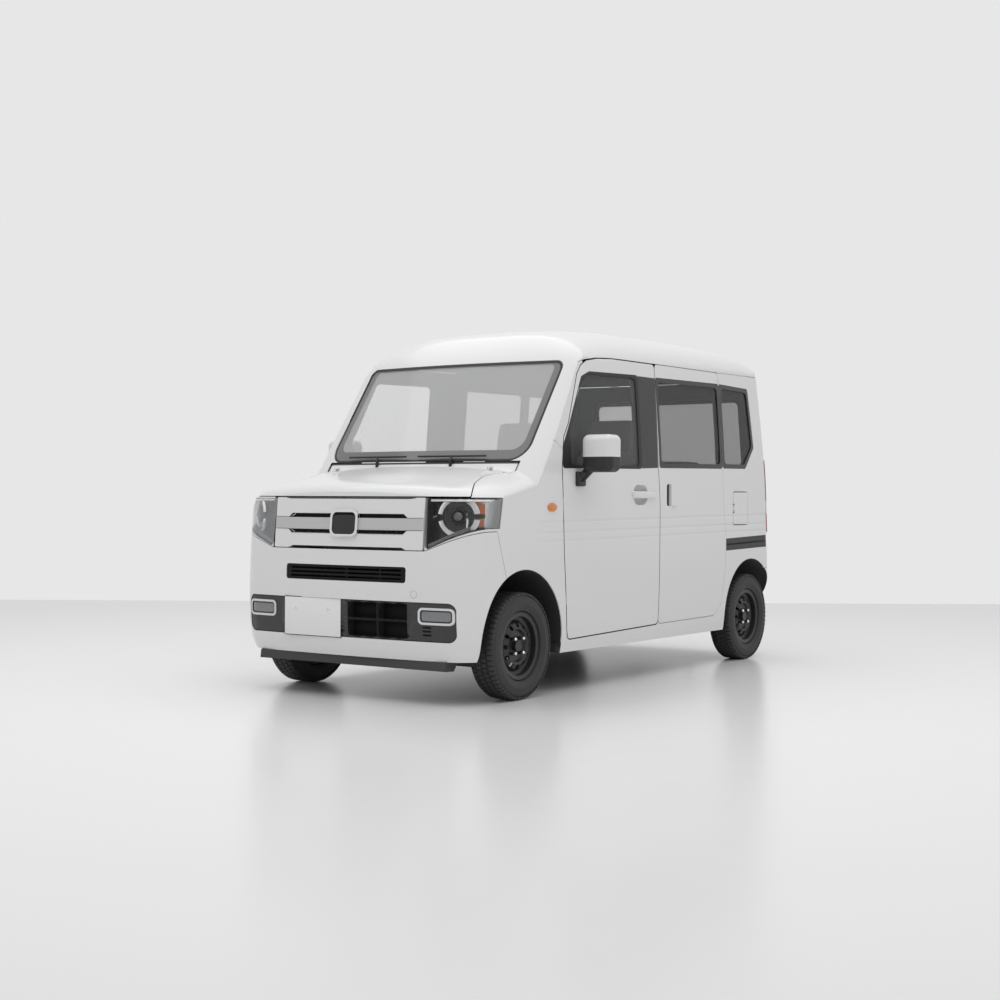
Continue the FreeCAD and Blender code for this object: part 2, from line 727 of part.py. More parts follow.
def side_frame():
    """Inner sill, hinge post and middle pillar behind the left doors."""
    sill_x = frame_x(FRONT_DOOR[0][1])
    sill = box(FLOOR_HALF, sill_x, y_of(850), y_of(2690), SILL_LOW, FLOOR_LOW + FLOOR_THICK)
    outer = [(frame_x(z), z) for z in (262, 420, 650, 900, 1160, 1400, 1740)]
    pillar = front_prism(outer + [(612, 1740), (640, 1400), (656, 1160), (656, 262)], 0,
                         y_of(1800), y_of(1905))
    x0, x1, front, rear = POST
    post = box(x0, x1, y_of(front), y_of(rear), RAIL_LOW, 1150)
    foot = box(x0, sill_x, y_of(front), y_of(rear), RAIL_LOW, FLOOR_LOW + FLOOR_THICK)
    gusset = side_prism([(735, 1275), (800, 1330), (930, 1150), (930, 1000), (865, 1000),
                         (700, 1180)], 0, 641, 654)
    frame = sill.fuse([pillar.common(drip_band(-1600, 0)), post, foot, gusset] + door_hinges())
    return frame.cut([arch(ARCH_F, AXLE_F, 300), arch(ARCH_R, AXLE_R, 300)])


def side_slab(depth):
    """Space outside a line that follows the body side at a depth, along the whole body."""
    levels = [lv[0] for lv in BODY_LEVELS]
    points = [(HALF - lv[1] - depth, lv[0]) for lv in BODY_LEVELS]
    return front_prism([(900, levels[0])] + points + [(900, levels[-1])], 0,
                       NOSE - 20, TAIL + 20)


def side_panel(forms):
    """Left windscreen pillar, quarter and sill, with the inner frame and door hinges."""
    door_low = FRONT_DOOR[0][1]
    wall = forms["left"].common(drip_band(-1800, 0))
    door_hole = side_prism(FRONT_DOOR, 26, 300, 900, MOVING_GAP)
    slide_hole = side_prism(SLIDING_DOOR, 26, 300, 900)
    above_doors = side_prism([(1090, 1690), (2641, 1700), (2641, 1800), (1090, 1800)], 0,
                             300, 900)

    quarter = wall.common(box(300, 900, y_of(2540), TAIL + 5, 320, 2000))
    for hole in (slide_hole, above_doors, side_prism(QUARTER_WINDOW, 26, 300, 900),
                 arch(ARCH_R, AXLE_R, 300), tailgate_region(MOVING_GAP), rail_box(0.0),
                 tail_lamp_box(0.0), box(300, 900, y_of(3120), TAIL + 5, 0, TAILGATE_LOW),
                 box(300, TAILGATE_HALF + MOVING_GAP, y_of(3200), TAIL + 5, 1700, 1900)):
        quarter = quarter.cut(hole)
    pillar = wall.common(box(620, 900, y_of(560), y_of(1200), 1200, 2000)).common(above_wing())
    for hole in (door_hole, above_doors, screen_hole()):
        pillar = pillar.cut(hole)
    sill = wall.common(box(FLOOR_HALF, 900, y_of(840), y_of(2700), SILL_LOW, 320))
    for hole in (door_hole, slide_hole, arch(ARCH_R, AXLE_R, 300), arch(ARCH_F, AXLE_F, 300)):
        sill = sill.cut(hole)
    sill = sill.cut(box(300, 900, y_of(700), y_of(DOOR_FOOT_BACK), door_low, 400))

    slab = side_slab(6.0)
    seams = [
        drip_band(-FIXED_GAP, 5),
        side_prism(SLIDING_DOOR, 26, 300, 900, FIXED_GAP),
        box(600, 900, y_of(3120) - FIXED_GAP, y_of(3285), 100, TAILGATE_LOW + FIXED_GAP),
        box(600, 900, y_of(600), y_of(DOOR_FOOT_BACK), door_low, 1400).cut(above_wing(FIXED_GAP)),
    ]
    panel = quarter.fuse([pillar, sill]).fuse(side_frame())
    for seam in seams:
        panel = panel.cut(seam.common(slab))
    return tidy(panel)


def lid_outline(x0, x1, grow=0.0):
    """Prism of the fuel lid's outline."""
    front, rear, low, high = LID
    return side_prism([(front, low), (rear, low), (rear, high), (front, high)], 14, x0, x1, grow)


def lid_axis():
    """X and Y of the fuel lid's hinge pin."""
    return HALF - LID_AXIS[0], y_of(LID_AXIS[1])


def bonnet_hinges():
    """Lugs under the bonnet's rear edge, and the brackets with their pins."""
    back, height = BONNET_AXIS
    y = y_of(back)
    x = BONNET_LUG_X
    lug = side_prism([(470, 1100), (500, 1095), (back + 8, height - 8), (back + 8, height + 4),
                      (back - 4, height + 8), (back - 12, height - 6), (470, 1112)], 3, x - 4, x + 4)
    lug = lug.fuse(box(x - 4, x + 4, y_of(470), y_of(520), 1095, 1126))
    lug = lug.cut(tube_x(x - 9, x + 9, y, height, 4 + PIN_CLEARANCE))
    pin = tube_x(x - 14, x + 14, y, height, 4)
    cheeks = [box(x + side * 9 - 3, x + side * 9 + 3, y - 3, y + 14, 1060, height + 5)
              for side in (-1, 1)]
    bracket = pin.fuse(cheeks[0]).fuse(cheeks[1])
    return both(lug), both(bracket)


def gate_hinges():
    """Ears on the tailgate and knuckles under the roof's rear edge."""
    back, height = GATE_AXIS
    y = y_of(back)
    x = GATE_LUG_X
    ear = tube_x(x - 8, x + 8, y, height, 9).fuse(box(x - 8, x + 8, y - 34, y, height - 14, height - 6))
    ear = ear.fuse(box(x - 8, x + 8, y - 9, y + 9, height - 10, height))
    ear = ear.cut(tube_x(x - 20, x + 20, y, height, 4 + PIN_CLEARANCE))
    knuckle_set = tube_x(x - 24, x + 24, y, height, 4)
    for side in (-1, 1):
        outer = tube_x(x + side * 17 - 8, x + side * 17 + 8, y, height, 9)
        root = box(x + side * 17 - 8, x + side * 17 + 8, y - 24, y + 6, height, height + 16)
        knuckle_set = knuckle_set.fuse(outer).fuse(root)
    return both(ear), both(knuckle_set)


def front_details(forms, brackets):
    """Lamps, grilles, fog lamps, cowl, wipers and bumper lip."""
    core = forms["core"]
    region = lamp_region()
    write("headlamp_lenses", both(tidy(forms["sheet"].common(region))))
    housing = core.common(region).common(box(300, 900, NOSE, y_of(200), 600, 1100))
    write("headlamps", both(tidy(housing)))

    reach = LAMP_INNER - FIXED_GAP
    grille = forms["skin"].common(front_prism([(-reach, 739), (reach, 739), (reach, 990),
                                               (-reach, 990)], 6, y_of(-50), y_of(78)))
    slots = []
    for tip, tip_z, flat, flat_z in SLOTS:
        slots.append(front_prism([(-tip, tip_z), (tip, tip_z), (flat, flat_z), (-flat, flat_z)], 0,
                                 y_of(-50), y_of(58)))
    boss = front_prism([(-80, 802), (80, 802), (80, 926), (-80, 926)], 30, y_of(14), y_of(72))
    write("upper_grille", tidy(grille.cut(slots).fuse(boss)))

    inner = PANEL_HALF - FIXED_GAP
    low = PANEL_LOW + FIXED_GAP
    high = PANEL_TOP - FIXED_GAP
    panel = core.common(front_prism([(-inner, low), (inner, low), (inner, high), (-inner, high)],
                                    PANEL_RADIUS - FIXED_GAP, y_of(-50), y_of(62)))
    holes = []
    for x0, x1 in ((-280, -15), (30, 208), (220, 388)):
        for z0, z1 in ((318, 394), (406, 482)):
            holes.append(front_prism([(x0, z0), (x1, z0), (x1, z1), (x0, z1)], 6,
                                     y_of(-50), y_of(50)))
    fog_hole = front_prism([(460, 386), (640, 386), (640, 470), (460, 470)], 20,
                           y_of(-50), y_of(90))
    panel = panel.cut(holes + [fog_hole, mirrored(fog_hole)])
    carrier = box(PLATE_X - 175, PLATE_X + 175, y_of(6), y_of(50), 322, 476)
    panel = panel.fuse(carrier).cut(plate_holes(y_of(0), y_of(64), PLATE_X, PLATE_Z))
    reach = SLOT_HALF - FIXED_GAP
    slot = core.common(front_prism([(-reach, SLOT_LOW + 3), (reach, SLOT_LOW + 3),
                                    (reach, SLOT_TOP - 3), (-reach, SLOT_TOP - 3)], 12,
                                   y_of(-50), y_of(62)))
    ribs = [box(-350, 350, NOSE - 50, y_of(50), z - 5, z + 5) for z in (600, 620, 640)]
    write("lower_grille", Part.makeCompound([tidy(panel), tidy(slot.cut(ribs))]))
    fog = core.common(front_prism([(460.4, 386.4), (639.6, 386.4), (639.6, 469.6),
                                   (460.4, 469.6)], 20, y_of(-50), y_of(88)))
    write("fog_lamps", both(tidy(fog)))

    cowl = core.common(box(-608, 608, y_of(546), y_of(640), 1060, 1172))
    cowl = cowl.cut(box(-620, 620, y_of(500), y_of(560), 1128, 1200))
    write("cowl", tidy(cowl.fuse(brackets)))
    write("bumper_lip", side_prism([(52, 168), (120, 165), (160, BUMPER_LOW), (58, BUMPER_LOW)],
                                   4, -590, 590))
    wipers = []
    for inner_x, outer_x, pivot_x in ((-60, -470, -250), (430, 20, 230)):
        ends = []
        for x in (inner_x, outer_x):
            ends.append((x, y_of(576 + SCREEN_BOW * (x / SCREEN_BOW_AT) ** 2), 1204))
        blade = rod(ends[0], ends[1], 5)
        pivot = Part.makeCylinder(9, 60, Vec(pivot_x, y_of(574), 1122))
        middle = [(ends[0][i] + ends[1][i]) / 2 for i in range(3)]
        arm = rod((pivot_x, y_of(574), 1176), middle, 5)
        wipers.append(blade.fuse([pivot, arm]).cut(cowl))
    write("wipers", Part.makeCompound(wipers))


def tail_details(forms):
    """Tail lamps, slide rails and mirrors."""
    write("tail_lamps", both(tidy(forms["left"].common(tail_lamp_box(0.0)))))
    rail = rail_box(-0.3).common(forms["core"])
    groove = side_prism([(2704, 712), (3290, 727), (3290, 737), (2704, 722)], 0, HALF - 24, 900)
    write("slide_rails", both(rail.cut(groove)))
    foot = box(HALF - 6, HALF + 22, y_of(968), y_of(1042), 1052, 1128)
    stalk = rod((HALF + 8, y_of(1004), 1090), (HALF + 72, y_of(1034), 1165), 24)
    head = box(HALF + 28, HALF + 207, y_of(968), y_of(1094), 1125, 1318)
    head = head.makeFillet(34, head.Edges)
    mirror = foot.makeFillet(10, foot.Edges).fuse([stalk, head])
    body = forms["skin"].common(box(600, 800, y_of(940), y_of(1120), 1000, 1200))
    mirror = tidy(mirror.cut(body))
    write("mirror_left", mirror)
    write("mirror_right", mirrored(mirror))


def plate_holes(y0, y1, x, z):
    """Two holes that hold a number plate."""
    return [Part.makeCylinder(PLATE_HOLE, y1 - y0, Vec(x + side * PLATE_SPACING / 2, y0, z), BACK)
            for side in (-1, 1)]


def tailgate_region(grow=0.0):
    """Space of the tailgate."""
    w = TAILGATE_HALF + grow
    return box(-w, w, y_of(3200), TAIL + 50, TAILGATE_LOW - grow, GATE_TOP + grow)


def tyre(x_middle, axle_y):
    """One tyre, turned about its axle: tread, shoulders, side walls and beads."""
    half_width = TYRE_WIDTH / 2
    bead = RIM_WIDTH / 2 - 10
    profile = [
        (-bead, RIM_RADIUS + PIN_CLEARANCE), (-bead - 1.5, RIM_LIP_RADIUS + 3.5),
        (-half_width + 6, RIM_LIP_RADIUS + 6),
        (-half_width, RIM_RADIUS + 58), (-half_width + 8, TYRE_RADIUS - 16),
        (-half_width + 22, TYRE_RADIUS - 3), (0, TYRE_RADIUS),
        (half_width - 22, TYRE_RADIUS - 3), (half_width - 8, TYRE_RADIUS - 16),
        (half_width, RIM_RADIUS + 58), (half_width - 6, RIM_LIP_RADIUS + 6),
        (bead + 1.5, RIM_LIP_RADIUS + 3.5), (bead, RIM_RADIUS + PIN_CLEARANCE),
    ]
    points = [Vec(x_middle + u, axle_y, TYRE_RADIUS + r) for u, r in profile]
    wire = rounded(points, 10)
    return Part.Face(wire).revolve(Vec(x_middle, axle_y, TYRE_RADIUS), LEFT, 360)


def rim(x_middle, axle_y):
    """Left steel wheel: rolled rim and pressed disc with hand holes, nuts and hub cap."""
    axle = Vec(x_middle, axle_y, TYRE_RADIUS)
    lip = RIM_WIDTH / 2
    well = RIM_RADIUS - 20
    barrel = [
        (-lip, RIM_LIP_RADIUS), (-lip + 5, RIM_LIP_RADIUS), (-lip + 8, RIM_RADIUS),
        (-18, RIM_RADIUS - 2), (-12, well), (14, well), (20, RIM_RADIUS - 2),
        (lip - 8, RIM_RADIUS), (lip - 5, RIM_LIP_RADIUS), (lip, RIM_LIP_RADIUS),
        (lip, RIM_LIP_RADIUS - 4), (lip - 4, RIM_RADIUS - 6), (24, RIM_RADIUS - 8),
        (18, well - 5), (-16, well - 5), (-22, RIM_RADIUS - 8), (-lip + 4, RIM_RADIUS - 6),
        (-lip, RIM_LIP_RADIUS - 4),
    ]
    disc = [
        (2, well - 2), (14, well - 2), (34, 112), (44, 92), (40, 82), (26, 74), (24, HUB_RADIUS),
        (18, HUB_RADIUS), (20, 78), (34, 86), (37, 92), (28, 108), (10, well - 8), (2, well - 8),
    ]
    rings = []
    for profile in (barrel, disc):
        points = [Vec(x_middle + u, axle_y, TYRE_RADIUS + r) for u, r in profile]
        rings.append(Part.Face(rounded(points, 0)).revolve(axle, LEFT, 360))
    holes = []
    for i in range(HAND_HOLES):
        angle = math.radians(360.0 / HAND_HOLES * i)
        y = axle_y + HAND_HOLE_CIRCLE * math.cos(angle)
        z = TYRE_RADIUS + HAND_HOLE_CIRCLE * math.sin(angle)
        hole = box(x_middle, x_middle + 60, y - 11, y + 11, z - 10, z + 10)
        hole = hole.makeFillet(4, [e for e in hole.Edges if abs(e.tangentAt(e.FirstParameter).x) > 0.9])
        hole.rotate(Vec(0, y, z), LEFT, math.degrees(angle))
        holes.append(hole)
    disc_cut = rings[1].cut(holes)
    middle = [rings[0], tube_x(x_middle - 24, x_middle + 20, axle_y, TYRE_RADIUS, 62),
              tube_x(x_middle + 18, x_middle + 46, axle_y, TYRE_RADIUS, HUB_RADIUS)]
    for i in range(STUD_COUNT):
        angle = math.radians(45 + 360.0 / STUD_COUNT * i)
        y = axle_y + STUD_CIRCLE / 2 * math.cos(angle)
        z = TYRE_RADIUS + STUD_CIRCLE / 2 * math.sin(angle)
        middle.append(tube_x(x_middle + 18, x_middle + 42, y, z, 9))
    return disc_cut.fuse(middle)


def knuckle(x_middle):
    """Left front knuckle: stub axle, upright with kingpin bores, and steering arm."""
    y = AXLE_F
    z = TYRE_RADIUS
    stub = tube_x(x_middle - 58, x_middle - 24 - PIN_CLEARANCE, y, z, 44)
    upright = box(KINGPIN_X - 22, x_middle - 40, y - 28, y + 28, z - 95, z + 95)
    arm = box(KINGPIN_X - 12, KINGPIN_X + 12, y + 20, y + 110, z - 30, z - 10)
    bore = 9 + PIN_CLEARANCE
    bores = [Part.makeCylinder(bore, 30, Vec(KINGPIN_X, y, z - 96)),
             Part.makeCylinder(bore, 30, Vec(KINGPIN_X, y, z + 66))]
    return upright.makeFillet(6, upright.Edges).fuse([stub, arm]).cut(bores)


def wheels():
    """Tyres, rims and knuckles of all four corners."""
    for end, axle_y, track in (("front", AXLE_F, TRACK_FRONT), ("rear", AXLE_R, TRACK_REAR)):
        x = track / 2
        left_tyre = tyre(x, axle_y)
        left_rim = rim(x, axle_y)
        write("tyre_" + end + "_left", left_tyre)
        write("tyre_" + end + "_right", mirrored(left_tyre))
        write("rim_" + end + "_left", left_rim)
        write("rim_" + end + "_right", mirrored(left_rim))
    left_knuckle = knuckle(TRACK_FRONT / 2)
    write("knuckle_left", left_knuckle)
    write("knuckle_right", mirrored(left_knuckle))


def wheel_housing(radius_height, axle_y, x0, foot, core):
    """Left wheel arch space and the thin lining around it, down to the height of its foot."""
    radius, height = radius_height
    outer = tube_x(x0, HALF + 20, axle_y, height, radius)
    inner = tube_x(x0 + 8, HALF + 40, axle_y, height, radius - 4)
    low = box(x0 - 10, HALF + 50, axle_y - radius - 10, axle_y + radius + 10, -200, foot)
    return outer, outer.cut([inner, low]).common(core)


def floor_pan(core):
    """Floors, firewall, frame rails, wheel linings and the nose's frame."""
    step_y = y_of(FLOOR_STEP)
    top = FLOOR_LOW + FLOOR_THICK
    front_out, front_shell = wheel_housing(ARCH_F, AXLE_F, 396, RAIL_LOW, core)
    rear_out, rear_shell = wheel_housing(ARCH_R, AXLE_R, 426, FLOOR_LOW, core)
    floor = box(-FLOOR_HALF, FLOOR_HALF, y_of(890), step_y, FLOOR_LOW, top)
    firewall = side_prism([(640, 330), (900, 300), (900, 330), (665, 380), (665, 1090),
                           (640, 1090)], 8, -FLOOR_HALF, FLOOR_HALF)
    support = box(-640, 640, y_of(200), y_of(212), 345, 985)
    support = support.cut(box(-430, 430, y_of(190), y_of(220), 430, 930))
    inside = Part.Face(plan_wire(LOAD_FLOOR, WALL + PIN_CLEARANCE))
    tail_room = inside.extrude(Vec(0, 0, -30))
    pieces = [
        box(-FLOOR_HALF, FLOOR_HALF, step_y - 30, step_y, FLOOR_LOW, SEAT_FLOOR),
        box(-690, 690, step_y - 30, y_of(SEAT_FLOOR_END) + 10, SEAT_FLOOR - 30, SEAT_FLOOR),
        box(-690, 690, y_of(SEAT_FLOOR_END), y_of(3115), LOAD_FLOOR - 30, LOAD_FLOOR),
        box(-600, 600, y_of(3100), TAIL, LOAD_FLOOR - 30, LOAD_FLOOR).common(tail_room),
        firewall,
        support,
        box(-400, 400, y_of(62), y_of(90), 345, 640),
        both(box(330, 400, y_of(120), y_of(2080), RAIL_LOW, FLOOR_LOW)),
        both(box(345, 400, y_of(2040), y_of(3240), 380, LOAD_FLOOR - 30)),
        both(box(330, 400, y_of(62), y_of(662), RAIL_LOW, 345)),
        both(box(300, 331, y_of(330), y_of(390), 300, 345)),
        both(box(300, 330, y_of(78), y_of(205), 760, 790)),
        both(box(300, 330, y_of(200), y_of(212), 430, 930)),
        both(box(400, 412, y_of(2585), y_of(2645), 250, LOAD_FLOOR - 30)),
    ]
    floor = floor.fuse(pieces)
    foot = box(POST[0], 700, y_of(POST[2]), y_of(POST[3]), RAIL_LOW, 700)
    floor = floor.cut([front_out, mirrored(front_out), rear_out, mirrored(rear_out), foot,
                       mirrored(foot)])
    return floor.fuse([front_shell, mirrored(front_shell), rear_shell, mirrored(rear_shell)])


def front_suspension():
    """Subframe, lower arms with kingpins, and struts on both sides."""
    y = AXLE_F
    subframe = box(-330, 330, y - 30, y + 60, 182, 232)
    towers = both(box(330, 400, y - 30, y + 60, 182, RAIL_LOW))
    arm = box(300, KINGPIN_X + 14, y - 22, y + 22, 146, 162)
    arm = arm.fuse([box(300, 325, y - 22, y + 22, 146, 200),
                    Part.makeCylinder(9, 34, Vec(KINGPIN_X, y, 160))])
    foot = box(512, KINGPIN_X + 14, y - 20, y + 20, 372, 386)
    strut = foot.fuse([
        Part.makeCylinder(9, 34, Vec(KINGPIN_X, y, 340)),
        rod((536, y, 376), (534, y + 4, 660), 24),
        rod((535, y + 2, 548), (534, y + 4, 660), 46),
    ])
    strut = strut.common(tube_x(300, 700, y, ARCH_F[1], ARCH_F[0] - 4))
    lower = subframe.fuse([towers, both(arm)])
    return Part.makeCompound([lower, strut, mirrored(strut)])


def rear_axle():
    """Beam with brake drums, trailing arms and coil springs."""
    y = AXLE_R
    z = TYRE_RADIUS
    half_beam = TRACK_REAR / 2 - 60
    beam = tube_x(-half_beam, half_beam, y, z, 30)
    drum = tube_x(half_beam, TRACK_REAR / 2 - 24 - PIN_CLEARANCE, y, z, 80)
    arm = box(412, 450, y_of(2600), y + 20, z - 15, z + 5)
    seat = box(255, 345, y - 45, y + 45, z + 20, z + 40)
    coil = Part.makeCylinder(40, LOAD_FLOOR - 30 - z - 40, Vec(300, y, z + 40))
    return beam.fuse([both(drum), both(arm), both(seat), both(coil)])


def underbody(core):
    """Everything below the floor."""
    write("floor_pan", tidy(floor_pan(core)))
    engine = box(-300, 300, y_of(230), y_of(560), 260, 760)
    write("engine_block", engine.makeFillet(25, engine.Edges))
    write("front_suspension", front_suspension())
    write("rear_axle", rear_axle())
    tank = box(-280, 280, y_of(1300), y_of(1950), 178, FLOOR_LOW)
    write("fuel_tank", tank.makeFillet(28, tank.Edges))
    silencer = box(-250, 250, y_of(3090), y_of(3250), 235, 375)
    silencer = silencer.makeFillet(45, [e for e in silencer.Edges
                                        if abs(e.tangentAt(e.FirstParameter).x) > 0.9])
    pipe = rod((150, y_of(3230), 262), (150, y_of(3365), 178), 18)
    hangers = [box(x - 6, x + 6, y_of(3150), y_of(3190), 360, LOAD_FLOOR - 30)
               for x in (-200, 200)]
    write("exhaust", silencer.fuse([pipe] + hangers))


def cabin():
    """Dashboard with steering column, steering wheel and seats."""
    centre = Vec(-330, y_of(1118), 969)
    axis = Vec(0, 115, 50).normalize()
    shaft_low = centre - axis * 120
    dash = side_prism([(665, 700), (880, 640), (1010, 760), (1030, 960), (960, 1075),
                       (700, 1110), (665, 1092)], 30, -640, 640)
    dash = dash.fuse(box(-640, 640, y_of(665), y_of(700), 760, 1040))
    column = Part.makeCylinder(34, 130, centre - axis * 160, axis)
    bore = Part.makeCylinder(12 + PIN_CLEARANCE, 92, shaft_low, axis)
    post_room = box(POST[0] - 3, POST[1] + 4, y_of(POST[2] - 7), y_of(POST[3] + 7), 600, 1160)
    gusset_room = box(636, 660, y_of(640), y_of(960), 600, 1160)
    dash = dash.cut([post_room, mirrored(post_room), gusset_room, mirrored(gusset_room)])
    write("dashboard", dash.fuse(column).cut(bore))

    ring = Part.makeTorus(172, 15, centre, axis)
    hub = Part.makeCylinder(55, 30, centre - axis * 22, axis)
    shaft = Part.makeCylinder(12, 100, shaft_low + axis * 2, axis)
    spokes = []
    for angle in (0, 120, 240):
        spoke = box(0, 170, -14, 14, -8, 6)
        spoke.rotate(Vec(0, 0, 0), UP, angle + 90)
        spoke.Placement = FreeCAD.Placement(centre, FreeCAD.Rotation(UP, axis)) * spoke.Placement
        spokes.append(spoke)
    write("steering_wheel", ring.fuse([hub, shaft] + spokes))

    seats = []
    for x in (-330, 330):
        cushion = side_prism([(1360, 560), (1830, 540), (1850, 660), (1370, 690)], 50,
                             x - 235, x + 235)
        backrest = side_prism([(1780, 590), (1925, 590), (2050, 1240), (1950, 1250)], 45,
                              x - 230, x + 230)
        head = side_prism([(1960, 1290), (2050, 1290), (2080, 1440), (1985, 1450)], 30,
                          x - 120, x + 120)
        post = side_prism([(1985, 1180), (2010, 1180), (2035, 1340), (2010, 1340)], 0,
                          x - 60, x + 60)
        base = box(x - 200, x + 200, y_of(1400), y_of(1800), FLOOR_LOW + FLOOR_THICK, 600)
        seats.append(cushion.fuse([backrest, head, post, base]))
    write("front_seats", Part.makeCompound(seats))

    bench = side_prism([(2470, 700), (2900, 690), (2900, 790), (2470, 810)], 40, -420, 420)
    bench_back = side_prism([(2860, 760), (2960, 760), (3060, 1230), (2970, 1240)], 35,
                            -420, 420)
    bench_base = box(-380, 380, y_of(2520), y_of(2850), SEAT_FLOOR, 720)
    write("rear_seat", bench.fuse([bench_back, bench_base]))


def main():
    os.makedirs("parts", exist_ok=True)
    wheels()
    cabin()
    forms = build_body()
    underbody(forms["core"])
    panels(forms)


main()
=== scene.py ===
"""Looks of a small high-roof van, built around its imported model."""

import itertools
import json
import math

import bmesh
import bpy
import numpy as np
from mathutils import Euler, Matrix, Vector

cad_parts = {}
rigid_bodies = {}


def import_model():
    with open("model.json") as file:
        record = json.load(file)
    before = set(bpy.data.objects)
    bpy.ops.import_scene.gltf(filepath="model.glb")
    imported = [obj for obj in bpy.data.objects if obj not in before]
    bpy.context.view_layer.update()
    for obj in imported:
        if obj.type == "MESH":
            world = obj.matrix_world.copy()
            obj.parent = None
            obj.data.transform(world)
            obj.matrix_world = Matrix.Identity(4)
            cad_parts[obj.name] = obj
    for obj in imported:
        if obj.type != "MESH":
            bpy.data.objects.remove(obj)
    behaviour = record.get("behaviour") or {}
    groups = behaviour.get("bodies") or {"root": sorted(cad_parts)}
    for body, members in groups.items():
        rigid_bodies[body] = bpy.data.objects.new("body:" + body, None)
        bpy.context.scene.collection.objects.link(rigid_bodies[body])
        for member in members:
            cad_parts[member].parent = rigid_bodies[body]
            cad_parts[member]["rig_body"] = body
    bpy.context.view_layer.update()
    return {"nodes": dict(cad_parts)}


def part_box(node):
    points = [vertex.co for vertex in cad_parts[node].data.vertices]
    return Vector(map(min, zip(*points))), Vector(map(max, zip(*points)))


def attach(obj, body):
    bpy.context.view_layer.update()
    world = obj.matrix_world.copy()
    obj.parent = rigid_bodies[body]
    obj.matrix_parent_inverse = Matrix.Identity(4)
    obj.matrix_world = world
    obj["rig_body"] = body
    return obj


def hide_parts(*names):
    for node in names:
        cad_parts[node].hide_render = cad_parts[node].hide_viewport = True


bl_info = {
    "name": "High-roof van looks",
    "version": (1, 0, 0),
    "blender": (4, 5, 0),
    "location": "View3D > Sidebar > Van",
    "description": "Paint, glass, lamps, wheels and cabin of a small high-roof van",
    "category": "Object",
}

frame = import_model()
NODES = frame["nodes"]

SIDES = ((1, "left"), (-1, "right"))

# Body form in millimetres, the same lines as the model's own. Levels give the height and how
# far the sides, the nose and the tail are drawn in there; bows give the radii of the nose (1)
# and the tail (-1) and of their corners; the roof line gives the distance behind the nose and
# the fall below the roof, the bonnet line that distance and the height.
HALF = 737.5
NOSE = -1697.5
TAIL = 1697.5
HEIGHT = 1945.0
BODY_LEVELS = [
    (200.0, 21.0, 50.0, 40.0), (290.0, 8.5, 12.0, 9.0), (420.0, 2.5, 0.0, 0.0),
    (650.0, 0.0, 4.0, 8.0), (900.0, 0.0, 22.0, 26.0), (1160.0, 2.5, 55.0, 44.0),
    (1400.0, 15.5, 95.0, 65.0), (1660.0, 34.5, 140.0, 90.0), (1800.0, 46.5, 165.0, 106.0),
    (2000.0, 66.0, 200.0, 130.0),
]
BOWS = {1: (6300.0, 165.0), -1: (5000.0, 110.0)}
ROOF_LINE = [
    (250.0, 1190.0), (566.0, 780.0), (969.5, 222.0), (1010.0, 178.0), (1070.0, 128.0),
    (1150.0, 78.0), (1245.0, 49.0), (1400.0, 29.0), (1560.0, 17.0), (1900.0, 5.0),
    (2300.0, 0.0), (2700.0, 0.0), (3000.0, 8.0), (3180.0, 32.0), (3280.0, 72.0),
    (3420.0, 150.0),
]
BONNET_LINE = [
    (-120.0, 790.0), (0.0, 955.0), (26.0, 1003.0), (45.0, 1030.0), (72.0, 1049.0),
    (120.0, 1064.0), (245.0, 1090.0), (400.0, 1122.0), (548.0, 1155.0), (800.0, 1200.0),
    (1200.0, 1250.0),
]
# Bow and half width of the windscreen, start, reach and drop of its rounded pillars, half
# width and power of the roof's arch, height, slope and fall of its edge, and where the
# windscreen turns into the roof
SCREEN_BOW, SCREEN_HALF = 66.0, 650.0
PILLAR_START, PILLAR_REACH, PILLAR_DROP = 590.0, 170.0, 120.0
ROOF_HALF, ROOF_POWER = 715.0, 3.6
DRIP_HEIGHT, DRIP_SLOPE, EDGE_FALL = 1727.0, 0.019, 57.0
BLEND_START, BLEND_LENGTH = 960.0, 260.0
# Bonnet: length behind the nose, radius term of its bow in plan, round of the nose's
# corners, crown over its half width, and round of the wings
BONNET_LENGTH = 560.0
BONNET_BOW = 12600.0
NOSE_ROUND, NOSE_ROUND_DROP = 165.0, 132.0
BONNET_HALF, BONNET_CROWN = 560.0, 22.0
WING_REACH, WING_DROP = 200.0, 95.0

AXLES = {"front": -1.1925, "rear": 1.3275}
TRACKS = {"front": 0.655, "rear": 0.6525}
AXLE_Z = 0.265

# Window openings and details in metres: side outlines in (y, z), front and rear in (x, z)
FRONT_WINDOW = [(-0.8305, 1.152), (-0.0525, 1.163), (-0.0475, 1.656), (-0.5725, 1.648),
                (-0.6195, 1.622), (-0.7575, 1.375), (-0.8135, 1.290)]
SLIDE_WINDOW = [(0.1705, 1.169), (0.9365, 1.179), (0.9365, 1.676), (0.1705, 1.664)]
QUARTER_WINDOW = [(0.9545, 1.181), (1.2485, 1.184), (1.3725, 1.311), (1.3325, 1.668),
                  (0.9545, 1.676)]
GATE_WINDOW = [(-0.560, 1.175), (0.560, 1.175), (0.545, 1.640), (-0.545, 1.640)]
SCREEN = [(-0.640, 1.180), (0.640, 1.180), (0.636, 1.706), (-0.636, 1.706)]
SCREEN_CLEAR = [(-0.598, 1.236), (0.598, 1.236), (0.594, 1.692), (-0.594, 1.692)]
SEAL_OUTER = [(-0.8495, 1.143), (-0.036, 1.154), (-0.036, 1.670), (-0.545, 1.657),
              (-0.628, 1.626), (-0.779, 1.358), (-0.844, 1.255)]
SEAL_INNER = [(-0.763, 1.160), (-0.066, 1.168), (-0.062, 1.651), (-0.563, 1.640),
              (-0.661, 1.557), (-0.771, 1.340)]
